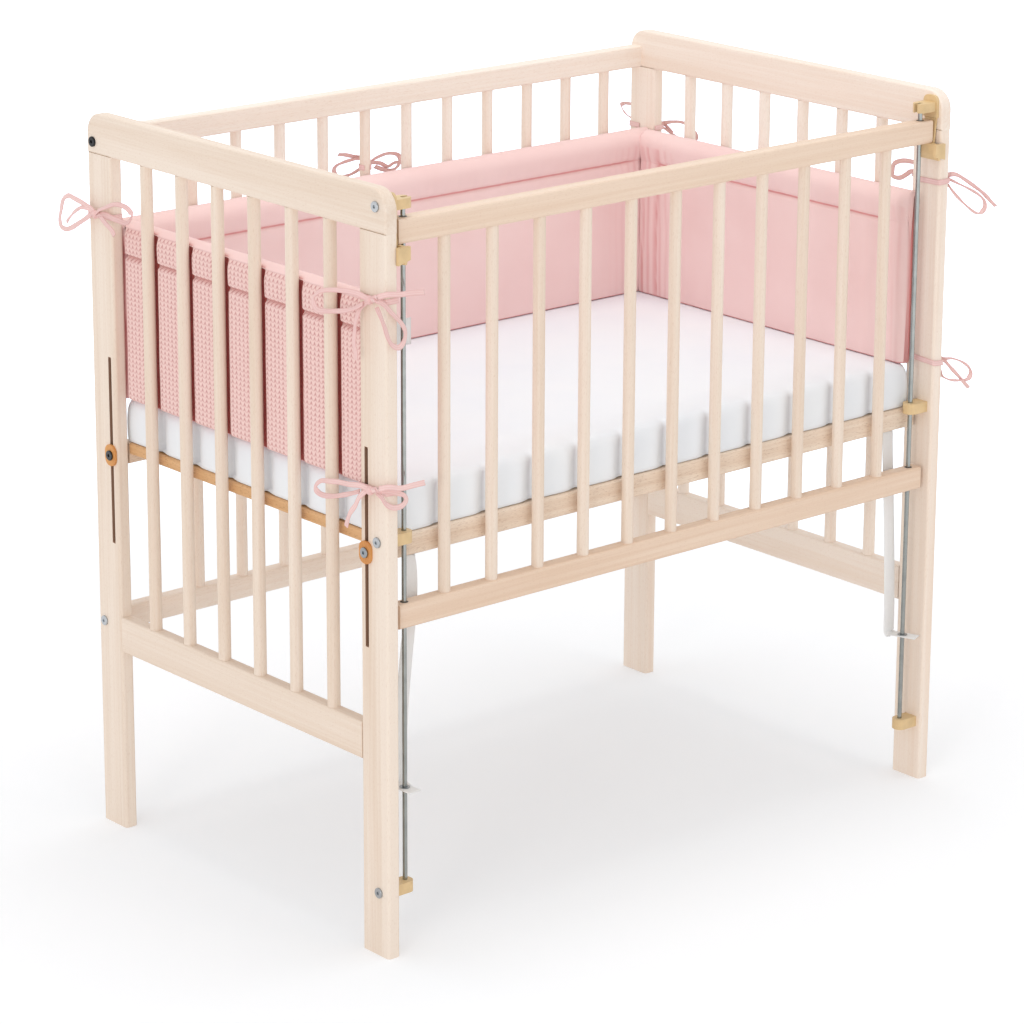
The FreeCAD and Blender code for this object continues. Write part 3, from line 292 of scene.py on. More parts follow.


# Light growth, dark growth and flecks: the frame, the base, a lighter copy of the frame's beech
# with painted light, for the back and right-hand parts that lie in more shade, and the gate's
# rails.
BEECH = (rgb(243, 230, 217), rgb(230, 211, 193), rgb(194, 155, 127))
BASE = (rgb(243, 226, 208), rgb(222, 196, 172), rgb(160, 114, 84))
PAINTED_LIGHT_BEECH = (rgb(251, 241, 231), rgb(242, 225, 210), rgb(206, 168, 140))
GATE = (rgb(239, 218, 199), rgb(226, 198, 174), rgb(188, 146, 116))
beech = [wood("beech_" + word, axis, *BEECH) for axis, word in enumerate(("x", "y", "z"))]
pale = [wood("pale_beech_" + word, axis, *PAINTED_LIGHT_BEECH) for axis, word in enumerate(("x", "y", "z"))]
gate_beech = wood("gate_beech", 0, *GATE)
base_beech = [wood("base_beech_" + word, axis, *BASE, speck=0.35)
              for axis, word in enumerate(("x", "y"))]
tan_wood = wood("tan_wood", 1, rgb(229, 185, 137), rgb(202, 154, 105), rgb(140, 88, 46), 0.4)
washer_wood = wood("washer_wood", 2, rgb(228, 168, 102), rgb(204, 136, 72), rgb(150, 90, 44), 0.3)
steel = metal("drawn_steel", (0.34, 0.37, 0.37, 1), 0.20, (900.0, 900.0, 25.0))
zinc = metal("zinc", (0.44, 0.47, 0.50, 1), 0.30)
# The back rail's upper bolts are black (above z = 0.6 m), and so are the base's back bolts.
back_bolt = metal("back_bolt_steel", (0.50, 0.54, 0.58, 1), 0.30,
                  above=(2, 0.6, (0.03, 0.032, 0.036, 1)))
base_bolt = metal("base_bolt_steel", (0.32, 0.35, 0.38, 1), 0.28,
                  above=(1, 0.0, (0.06, 0.066, 0.074, 1)))
fitting = plastic("fitting_plastic", rgb(229, 200, 152), 0.42)
dark_plastic = plastic("dark_plastic", rgb(58, 54, 52), 0.45)
# The third colour of each cloth is the colour of its painted shade.
bumper_inner = cotton("bumper_cotton", rgb(249, 220, 218), rgb(245, 212, 210), rgb(212, 98, 102))
bumper_outer = [pique("bumper_pique_" + word, rgb(246, 214, 210), rgb(213, 160, 158),
                      rgb(178, 82, 76), run) for run, word in enumerate(("x", "y"))]
piping = cotton("piping", rgb(247, 222, 220), rgb(238, 204, 202), rgb(236, 196, 195),
                pitch=0.0008, weave=0.3)
sheet_cotton = cotton("sheet_cotton", rgb(245, 250, 255), rgb(241, 247, 254),
                      rgb(205, 206, 212), weave=0.08)
tape_cotton = cotton("tape_cotton", rgb(249, 220, 217), rgb(242, 207, 205),
                     rgb(222, 158, 158), pitch=0.0009, weave=0.3)
webbing = cotton("webbing", rgb(250, 251, 252), rgb(240, 241, 242),
                 rgb(208, 209, 210), pitch=0.0016, weave=0.5)
label_cloth = cotton("label_cloth", rgb(246, 246, 248), rgb(236, 237, 240),
                     rgb(210, 212, 216), pitch=0.0006, weave=0.15)

post_beech = wood("post_beech", 2, *BEECH, shaded_slot=True)
# The posts at the right-hand end get the slotted copy with painted light.
post_painted_light = wood("post_pale_beech", 2, *PAINTED_LIGHT_BEECH, shaded_slot=True)

# Materials by the start of a node's name; the last start that fits is the one that holds.
FINISHES = {
    # The back and right-hand parts get the beech copies with painted light.
    "post_": post_beech, "post_back_right": post_painted_light, "post_front_right": post_painted_light,
    "end_spindles": beech[2], "end_spindles_right": pale[2], "back_spindles": pale[2],
    "gate_spindles": beech[2], "end_top": beech[1], "end_top_rail_right": pale[1],
    "end_bottom": beech[1], "end_bottom_rail_right": pale[1], "back_top_rail": pale[0],
    "back_bottom_rail": pale[0], "gate_top": gate_beech, "gate_bottom": gate_beech,
    "frame_dowels": beech[1], "base_front": base_beech[0],
    "base_back_beam": base_beech[0], "base_end": tan_wood, "base_slats": base_beech[1],
    "base_dowels": base_beech[1], "base_washers": washer_wood, "guide_rod": steel,
    "rod_holder": fitting, "rod_bracket": fitting, "catch_": fitting,
    "gate_bushings": dark_plastic, "back_rail_bolts": back_bolt, "bracket_screws": zinc,
    "base_bolts": base_bolt, "base_nuts": zinc, "back_rail_nuts": zinc, "slat_screws": zinc,
    "strap_screws": zinc, "strap_eyelets": zinc,
}


def dress(obj, mat):
    """Give every slot of a CAD object the same material."""
    for index in range(len(obj.material_slots)):
        obj.material_slots[index].material = mat
    if not obj.material_slots:
        obj.data.materials.append(mat)


for obj in list(bpy.data.objects):
    for start, mat in FINISHES.items():
        if obj.type == "MESH" and obj.name.startswith(start):
            dress(obj, mat)


# ---------------------------------------------------------------- mesh helpers

def surface(name, verts, faces, mats, face_mats=None, **attributes):
    """A smooth mesh object in metres from points in millimetres, riding on the bed base."""
    mesh = bpy.data.meshes.new(name)
    mesh.from_pydata([tuple(c * 0.001 for c in v) for v in verts], [], faces)
    mesh.validate()
    for mat in mats:
        mesh.materials.append(mat)
    if face_mats is not None:
        mesh.polygons.foreach_set("material_index", face_mats)
    for key, values in attributes.items():
        layer = mesh.attributes.new(key, "FLOAT", "POINT")
        layer.data.foreach_set("value", values)
    mesh.update()
    obj = bpy.data.objects.new(name, mesh)
    bpy.context.scene.collection.objects.link(obj)
    mesh.polygons.foreach_set("use_smooth", [True] * len(mesh.polygons))
    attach(obj, "bed_base")
    return obj


def lofted(rings):
    """Vertices and faces of a closed skin over rings of equal point counts."""
    count = len(rings[0])
    verts = [tuple(p) for ring in rings for p in ring]
    faces = []
    for k in range(len(rings) - 1):
        for j in range(count):
            n = (j + 1) % count
            faces.append((k * count + j, k * count + n, (k + 1) * count + n, (k + 1) * count + j))
    for k, order in ((0, -1), (len(rings) - 1, 1)):
        verts.append(tuple(sum(p[axis] for p in rings[k]) / count for axis in range(3)))
        last = len(verts) - 1
        for j in range(count):
            a, b = k * count + j, k * count + (j + 1) % count
            faces.append((a, b, last) if order > 0 else (b, a, last))
    return verts, faces


def ripple(x, y, z, seed):
    """Smooth noise from about -1 to 1, the same each run; each seed is another field."""
    return noise.noise(Vector((x, y, z + seed * 37.1)))


def curve_points(points, steps):
    """A Catmull-Rom curve through points, as an array."""
    pts = [np.array(p, float) for p in points]
    pts = [2 * pts[0] - pts[1]] + pts + [2 * pts[-1] - pts[-2]]
    out = []
    for i in range(1, len(pts) - 2):
        p0, p1, p2, p3 = pts[i - 1:i + 3]
        for step in range(steps):
            u = step / steps
            out.append(0.5 * (2 * p1 + (p2 - p0) * u + (2 * p0 - 5 * p1 + 4 * p2 - p3) * u ** 2
                              + (3 * p1 - p0 - 3 * p2 + p3) * u ** 3))
    out.append(pts[-2])
    return np.array(out)


# A band's section: across and up, from -1 to 1. Its edges are folded over to the middle of one
# face, and the table below gives the share of painted shade at each of these points, most at the
# folds.
BAND_SECTION = ((-1, -0.3), (-0.9, -0.9), (-0.35, -1), (0.35, -1), (0.9, -0.9), (1, -0.3),
                (1, 0.3), (0.9, 0.9), (0.3, 0.55), (0, 0.25), (-0.3, 0.55), (-0.9, 0.9), (-1, 0.3))
FOLD_SHADE = (0.45, 0.3, 0, 0, 0.3, 0.45, 0.45, 0.3, 0, 0.3, 0, 0.3, 0.45)


def band_rings(points, normals, width, thickness, steps, twist=0.0):
    """Rings of a flat band along a smooth curve; the band's face looks along the normals."""
    path = curve_points(points, steps)
    looks = curve_points(normals, steps)
    rings = []
    last = len(path) - 1
    for k, point in enumerate(path):
        run = path[min(k + 1, last)] - path[max(k - 1, 0)]
        run /= np.linalg.norm(run) + 1e-9
        look = looks[k] - run * looks[k].dot(run)
        look /= np.linalg.norm(look) + 1e-9
        side = np.cross(run, look)
        turn = twist * math.sin(k * 0.35)
        look, side = (look * math.cos(turn) + side * math.sin(turn),
                      side * math.cos(turn) - look * math.sin(turn))
        half, thick = width / 2, thickness / 2
        rings.append([point + side * half * across + look * thick * up
                      for across, up in BAND_SECTION])
    return rings


def merged(name, parts, mat):
    """Several lofted skins as one object, with painted shade along a band's folded edges and
    middle and a light, even share on other skins.
    """
    verts, faces, shade_shares = [], [], []
    for rings in parts:
        some, more = lofted(rings)
        faces += [tuple(i + len(verts) for i in face) for face in more]
        verts += some
        count = len(rings[0])
        # Painted shade shares: the fold table for a band, an even share for a knot or cord, more
        # at the end caps.
        line = FOLD_SHADE if count == len(FOLD_SHADE) else (0.25,) * count
        shade_shares += list(line) * len(rings) + [0.5, 0.5]
    return surface(name, verts, faces, [mat], crease=shade_shares)


def tube_rings(points, radius, sides=8):
    """Rings of a round cord through the points."""
    path = np.array(points, float)
    rings = []
    look = np.array([0.31, 0.17, 0.93])
    for k, point in enumerate(path):
        run = path[min(k + 1, len(path) - 1)] - path[max(k - 1, 0)]
        run /= np.linalg.norm(run) + 1e-9
        side = np.cross(run, look)
        side /= np.linalg.norm(side) + 1e-9
        up = np.cross(side, run)
        rings.append([point + radius * (side * math.cos(a) + up * math.sin(a))
                      for a in [2 * math.pi * i / sides for i in range(sides)]])
    return rings


def mm(node):
    """The two corners of a CAD node's box, in millimetres."""
    low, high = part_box(node)
    return [c * 1000 for c in low], [c * 1000 for c in high]


# ---------------------------------------------------------------- mattress

def smooth(a, b, x):
    """0 at a and before, 1 at b and after, with a soft turn at both."""
    t = min(max((x - a) / (b - a), 0), 1)
    return t * t * (3 - 2 * t)


END_BARS = [-183.5 + 73.4 * k for k in range(6)]
GATE_BARS = [-368.5 + 73.7 * k for k in range(11)]
END_PINCH, GATE_PINCH = 6.5, 4.2    # how far the bars of the ends and the gate draw the side in
# How far a bar draws the side in, and how far the painted shade line beside it reaches.
PINCH_REACH, SHADE_REACH = 8.0, 4.0
CORNER = 17
# Points along the right end, the left end, the back and the front, by the corner point before it.
EDGE_POINTS = {8: 110, 26: 110, 17: 120, 35: 210}
# Inset from the side, height share at the padded sides, height share at the front.
PROFILE = ((60, 0, 0), (30, 0, 0), (12, 0, 0), (2.4, 0.004, 0.004), (1.0, 0.02, 0.02),
           (0.4, 0.10, 0.11), (0.1, 0.25, 0.28), (0, 0.40, 0.45), (0.2, 0.53, 0.60),
           (0.9, 0.67, 0.72), (2.2, 0.77, 0.81), (4.4, 0.85, 0.88), (7.5, 0.905, 0.925),
           (12, 0.927, 0.95), (18, 0.936, 0.962), (23, 0.938, 0.968), (32, 0.950, 0.974),
           (48, 0.970, 0.982), (70, 0.982, 0.988), (95, 0.989, 0.992), (125, 0.994, 0.996),
           (160, 0.998, 0.998), (200, 1, 1), (235, 1, 1), (258, 1, 1))


def build_mattress():
    """A boxy mattress under a smooth sheet, drawn in at the bars of the ends and the gate.

    Its shoulders are lower where the bumper stands on them.
    """
    low, high = mm("mattress")
    cx, cy = (low[0] + high[0]) / 2, (low[1] + high[1]) / 2
    hx, hy = (high[0] - low[0]) / 2 - 0.4, (high[1] - low[1]) / 2 - 0.4
    height = high[2] - low[2]

    def outline(inset):
        pts = []
        rx, ry, r = hx - inset, hy - inset, max(CORNER - inset * 0.3, 5)
        for k, (sx, sy) in enumerate(((1, -1), (1, 1), (-1, 1), (-1, -1))):
            for step in range(9):
                a = math.radians(-90 + 90 * k + 90 * step / 8)
                pts.append((sx * (rx - r) + r * math.cos(a), sy * (ry - r) + r * math.sin(a)))
        dense = []
        for k, (ax, ay) in enumerate(pts):
            bx, by = pts[(k + 1) % len(pts)]
            parts = EDGE_POINTS.get(k, 1)
            for step in range(parts):
                share = step / parts
                dense.append((ax + (bx - ax) * share, ay + (by - ay) * share))
        return dense

    rings, shade_shares = [], []
    for inset, side_share, front_share in PROFILE:
        ring = []
        for x, y in outline(inset):
            front = smooth(hy - 90, hy - 30, -y) * smooth(424, 412, abs(x))
            share = side_share + (front_share - side_share) * front
            z = low[2] + share * height
            side_amount = smooth(0.97, 0.6, share) * smooth(0.0, 0.1, share)
            top_amount = smooth(0.85, 0.97, share)
            near = max(0, 1 - math.hypot(hx - abs(x), hy - abs(y)) / 110)
            fold = 0.9 * ripple(x * 0.016, y * 0.016, 0, 1) + 0.5 * ripple(x * .05, y * .05, 0, 2)
            fold += near * 1.2 * ripple(x * 0.07, y * 0.07, z * 0.01, 3)
            push = side_amount * abs(fold)
            edge_x = hx - inset - abs(x) < hy - inset - abs(y)
            gap = 99.0          # no bar stands near the back
            if edge_x:
                gap = min(abs(y + cy - bar) for bar in END_BARS)
            elif y < 0:
                gap = min(abs(x + cx - bar) for bar in GATE_BARS)
            pinch = math.exp(-(gap / PINCH_REACH) ** 2)
            push += (END_PINCH if edge_x else GATE_PINCH) * side_amount * pinch
            # Painted shade: a dark line on the sheet where each bar draws the side in, fading out
            # up the side.
            crease = 0.75 * math.exp(-(gap / SHADE_REACH) ** 2) * smooth(0.0, 0.06, share)
            shade_shares.append(crease * smooth(0.99, 0.80, share))
            nx = math.copysign(1, x) if edge_x else 0
            ny = 0 if edge_x else math.copysign(1, y)
            crown = 1.0 * ripple(x * 0.004, y * 0.005, 0, 5) + 0.3 * ripple(x * .02, y * .02, 0, 6)
            crown += 0.35 * ripple(x * 0.012 + y * 0.02, y * 0.045 - x * 0.012, 0, 7)
            hem = smooth(0.13, 0.0, share) * (1 if inset < 8 else 0)
            lift = hem * (max(0, 0.8 * ripple(x * 0.013, y * 0.013, 0, 8)) + 2.4 * pinch)
            z = min(z + top_amount * (crown * 0.8 - 0.9) * smooth(20, 60, inset) + lift, high[2])
            ring.append((cx + x - push * nx, cy + y - push * ny, z))
        rings.append(ring)
    verts, faces = lofted(rings)
    obj = surface("mattress_cover", verts, faces, [sheet_cotton], crease=shade_shares + [0.0, 0.0])
    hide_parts("mattress")


build_mattress()


# ---------------------------------------------------------------- bumper

BACK_BARS = [-390 + 780 * k / 11 for k in range(12)]
PLANES = {"bumper_left": -451.4, "bumper_right": 451.4, "bumper_back": 274.0}   # outer sides
POST_EDGE = {0: 446, 1: 246}    # where a panel along x or y meets its posts
SEAM_DROP = 42                  # the seam under the roll, below the panel's top
# Distances of the rows from the seam, below it and above it.
LOWER = (0.4, 1, 1.7, 2.5, 3.5, 5, 7.5, 11, 16, 24, 36, 52, 70, 90, 110, 130, 148, 162, 172, 179,
         183, 185.5, 187.2, 188.4)
ROLL = (0.4, 1, 1.7, 2.5, 3.5, 5, 7.5, 11, 15, 20)
CROWN = 24          # height above the seam where the roll starts to turn over
TOP_ROWS = 17       # rows over the top of the roll
WAFFLE_ROWS = 5     # how many of them are still waffle cloth
DEEP = 25.0         # thickness of a panel
FLOOR = 7.0         # half the width of the drawn-in strip behind a bar
PLUMP = 7.2         # how far the padding stands out between bars
END_STRIP = 38      # a plain strip at the front end of each end panel
PIPING = 0.8        # radius of the cord along the edge of the waffle cloth
NEAR_BAR = (0, 2.5, 5, 7, 8.5, 10, 11.5, 13.5, 16, 19)


def rounded_gap(a, b, r):
    """Distance inward from a corner whose edges are a and b away, rounded by r."""
    return min(a, b) if a >= r or b >= r else r - math.hypot(r - a, r - b)


def swell(bar_gap, seam_gap, edge_gap):
    """How far padding bulges out, from its distances to a bar, the seam and the lower edge."""
    gap = min(rounded_gap(bar_gap, 2.4 * seam_gap, 12), rounded_gap(bar_gap, 2.0 * edge_gap, 8))
    return PLUMP * (1 - math.exp(-(max(gap, 0) / 6.0) ** 2))


def bumper_places(start, stop, bars):
    """Places along a panel: close together beside each bar, wider apart between bars."""
    places = {start, stop, start + 1.5, stop - 1.5, start + 4, stop - 4, start + 8, stop - 8}
    for bar in bars:
        places.update(bar + side * d for side in (-1, 1) for d in NEAR_BAR)
    fixed = sorted(p for p in places if start <= p <= stop)
    out = []
    for a, b in zip(fixed, fixed[1:]):
        parts = max(1, math.ceil((b - a) / 4.6))
        out += [a + (b - a) * k / parts for k in range(parts) if b - a > 0.3]
    return out + [stop]


def bumper(name, node, axis, outward, bars, ends, corners, upright=None):
    """One padded panel: waffle outer side drawn in at the bars, smooth inner side, top roll.

    ends says how much each end is squeezed, corners how much each end is gathered, and upright
    is the place of an upright seam on the inner side.
    """
    low, high = mm(node)
    zl, zt = low[2], high[2]
    seam = zt - SEAM_DROP
    face = PLANES[node]
    start, stop = low[axis], high[axis]
    edge = POST_EDGE[axis]
    places = bumper_places(start, stop, bars)
    rows = [("outer", seam - g) for g in reversed(LOWER)] + [("outer", seam + g) for g in ROLL]
    rows += [("top", k / (TOP_ROWS - 1)) for k in range(TOP_ROWS)]
    outer_rows = len(rows) - TOP_ROWS + WAFFLE_ROWS
    rows += [("inner", seam + g) for g in reversed(ROLL)] + [("inner", seam - g) for g in LOWER]
    rows += [("bottom", (k + 0.5) / 4) for k in range(4)]

    def outer(place, value, bar_gap, valley):
        """Depth behind the outer plane and share of painted shade of a point on the outer side."""
        above = value - seam
        t = -swell(bar_gap, abs(above), value - zl if above < 0 else 99)
        t += 2.6 * valley
        if above > 0:
            t -= 1.4 * (1 - ((above - 20) / 20) ** 2) * (1 - math.exp(-(bar_gap / 7) ** 2))
        else:
            t += 1.6 * smooth(9, 0, value - zl)
        t += 0.5 * ripple(place * 0.05, value * 0.03, 0, 11)
        # Painted shade: dark red down in the valley behind each bar, and a line along the seam
        # under the roll.
        crease = max(0.95 * valley, 0.5 * math.exp(-(above / 0.9) ** 2))
        return t, crease

    def inner(place, value, gathers, stitched):
        """Depth behind the outer plane and share of painted shade of a point on the inner side."""
        above = value - seam
        notch = smooth(18, 50, min(place - start, stop - place))
        if axis == 1:
            notch *= smooth(END_STRIP - 3, END_STRIP + 3, place - start)
            stitched = max(stitched, 0.6 * math.exp(-((place - start - END_STRIP) / 1.5) ** 2))
        pucker = 0.9 * math.exp(-abs(above) / 14) + 0.5 * math.exp(-(value - zl) / 14)
        if above > 0:
            body = 5.0 * (1 - ((above - CROWN) / CROWN) ** 2)
        else:
            body = 2.4 * math.sin(math.pi * min(-above / (seam - zl), 1)) ** 0.45
        t = DEEP - 0.6 - 3.0 * notch * math.exp(-(above / 3) ** 2) + body
        t += (pucker + 0.8 * gathers) * ripple(place * 0.11, value * 0.010, 0, 14)
        t += 0.7 * ripple(place * 0.016, value * 0.02, 0, 15)
        wave = math.sin(place * 0.52 + 3.0 * ripple(place * 0.02, value * 0.012, 0, 17))
        fold = gathers * (0.5 - 0.5 * wave) ** 3
        t -= 2.6 * fold + 1.6 * stitched
        # Painted shade along the notch at the seam, the stitched seams, the gathered folds and the
        # foot on the mattress.
        crease = max(0.7 * notch * math.exp(-(above / 1.1) ** 2), 0.5 * stitched, 0.75 * fold,
                     0.6 * smooth(2.6, 1.4, value - zl))
        return t, crease

    rings, shade_shares, ridge = [], [], []
    for place in places:
        from_end = min(place - start, stop - place)
        which = 0 if place - start < stop - place else 1
        squeeze = 1 - ends[which] * (1 - smooth(0, 9, from_end)) ** 2
        bar_gap = min([abs(place - bar) - FLOOR for bar in bars] + [edge - abs(place)])
        bar_gap = max(bar_gap, 0)
        valley = math.exp(-(bar_gap / 2.6) ** 2)
        gathers = corners[which] * math.exp(-from_end / 24)
        if upright is not None:
            gathers = max(gathers, 0.6 * math.exp(-abs(place - upright) / 16))
        ring = []
        for side, value in rows:
            z, crease = value, 0.0
            stitched = 0.0
            if upright is not None:
                line = upright + 1.3 * math.sin(z * 0.09) if side == "inner" else upright
                stitched = math.exp(-((place - line) / 1.5) ** 2)
            if side == "outer":
                t, crease = outer(place, value, bar_gap, valley)
            elif side == "top":
                angle = math.pi * value
                out_t, crease = outer(place, seam + CROWN, bar_gap, valley)
                full_t = outer(place, seam + CROWN, 40, 0)[0]
                out_t += (full_t - out_t) * smooth(0.10, 0.34, value)
                in_t = inner(place, seam + CROWN, gathers, stitched)[0]
                # The painted shade of the valleys fades out over the top of the roll.
                crease *= smooth(0.34, 0.24, value)
                t = (out_t + in_t) / 2 - (in_t - out_t) / 2 * math.cos(angle)
                z = seam + CROWN + (zt - 0.2 - seam - CROWN) * math.sin(angle)
                if rows[outer_rows - 1] == (side, value):
                    ridge.append((t, z + 0.1))
            elif side == "inner":
                t, crease = inner(place, value, gathers, stitched)
            else:
                t = DEEP + 1 - (DEEP - 1) * value
                z = zl + 0.35 + 0.12 * ripple(place * 0.04, 0, 0, 16)
                # Painted shade under the panel, where it stands on the mattress.
                crease = 0.6
            t = DEEP / 2 + (t - DEEP / 2) * squeeze
            across = face - outward * t
            z = min(max(z, zl + 0.2), zt - 0.1)
            ring.append((across, place, z) if axis == 1 else (place, across, z))
            shade_shares.append(crease)
        rings.append(ring)
    n = len(rows)
    flip = (axis == 1) == (outward > 0)     # turns the faces so that they look outward
    if flip:
        rings = [ring[::-1] for ring in rings]
        shade_shares = [shade_shares[k * n + n - 1 - j] for k in range(len(rings)) for j in range(n)]
    verts, faces = lofted(rings)
    shade_shares += [0.4, 0.4]
    mats = []
    for f in faces:
        j = f[0] % n
        j = n - 2 - j if flip else j
        mats.append(1 if j < outer_rows - 1 and j >= 0 and len(f) == 4 else 0)
    obj = surface(name, verts, faces, [bumper_inner, bumper_outer[axis]], face_mats=mats,
                  crease=shade_shares)
    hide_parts(node)
    line = [(face - outward * t, place, z) if axis == 1 else (place, face - outward * t, z)
            for place, (t, z) in zip(places[2:-2], ridge[2:-2])]
    edging = merged(name + "_piping", [tube_rings(line, PIPING)], piping)


bumper("bumper_left_pad", "bumper_left", 1, -1, END_BARS, (0.55, 0.12), (0.25, 1))
bumper("bumper_right_pad", "bumper_right", 1, 1, END_BARS, (0.55, 0.12), (0.25, 1), upright=211)
bumper("bumper_back_pad", "bumper_back", 0, 1, BACK_BARS, (0.3, 0.3), (1, 1))


# ---------------------------------------------------------------- ties

KNOT = 11
WRAP_WIDE, WRAP_THICK = 7.0, 0.9
BOW_WIDE, BOW_THICK = 6.6, 1.3


def knot_lump(centre, size, seed):
    """A small knotted lump of folded tape."""
    rings = []
    for k in range(11):
        lat = -math.pi / 2 + math.pi * k / 10
        ring = []
        for j in range(16):
            a = 2 * math.pi * j / 16
            r = size / 2 * (1 + 0.13 * math.sin(3 * a + 2 * lat + seed) * math.cos(lat))
            ring.append((centre[0] + r * math.cos(lat) * math.cos(a) * 0.9,
                         centre[1] + r * math.cos(lat) * math.sin(a) * 1.1,
                         centre[2] + r * math.sin(lat)))
        rings.append(ring)
    rings[0] = [(centre[0], centre[1] + 0.01 * j, centre[2] - size / 2) for j in range(16)]
    rings[-1] = [(centre[0], centre[1] + 0.01 * j, centre[2] + size / 2) for j in range(16)]
    return rings


def post_wrap(sx, sy, z, slope):
    """Tape round a post as an open C, from the bumper's end round to the gap behind it."""
    x0, x1, y0, y1, r = 451.0, 471.0, 247.0, 299.0, 3.5     # 1 mm off the post, round its edges
    start = [(x0 - 0.3, 263), (x0, 275)] if sy < 0 else [(x0 - 0.1, 276.5), (x0, 285)]
    path = start + [(x0, y1 - r), (x0 + r, y1), (x1 - r, y1), (x1, y1 - r), (x1, 273),
                    (x1, y0 + r), (x1 - r, y0), (x0 + 3, y0)]
    looks = [(-1, 0), (-1, 0), (-0.9, 0.4), (-0.4, 0.9), (0.4, 0.9), (0.9, 0.4), (1, 0),
             (0.9, -0.4), (0.4, -0.9), (0, -1)]
    points = [(sx * x, sy * y, z + slope * k) for k, (x, y) in enumerate(path)]
    normals = [(sx * a, sy * b, 0) for a, b in looks]
    return points, normals


def tie(node, wrap, knot, bands):
    """One tape: its wrap round a post or bar, its knot, and the loops and ends of its bow."""
    parts = [band_rings(*wrap, WRAP_WIDE, WRAP_THICK, steps=6), knot_lump(knot, KNOT, len(bands))]
    for points, normals in bands:
        parts.append(band_rings([knot] + points, [normals[0]] + normals, BOW_WIDE, BOW_THICK,
                                steps=9, twist=0.12))
    obj = merged(node + "_tape", parts, tape_cotton)
    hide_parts(node)
    return obj


# The upper front ties each get a mesh of their own.
SLIDE_KEEP = {"tie_front_left_upper": 0.946, "tie_front_right_upper": 0.922}

# Where the face of a bow's tape looks.
SIDE = (1, 0, 0.15)
TILT = (0.75, 0, 0.66)
FRONT = (0.2, -0.9, 0.35)
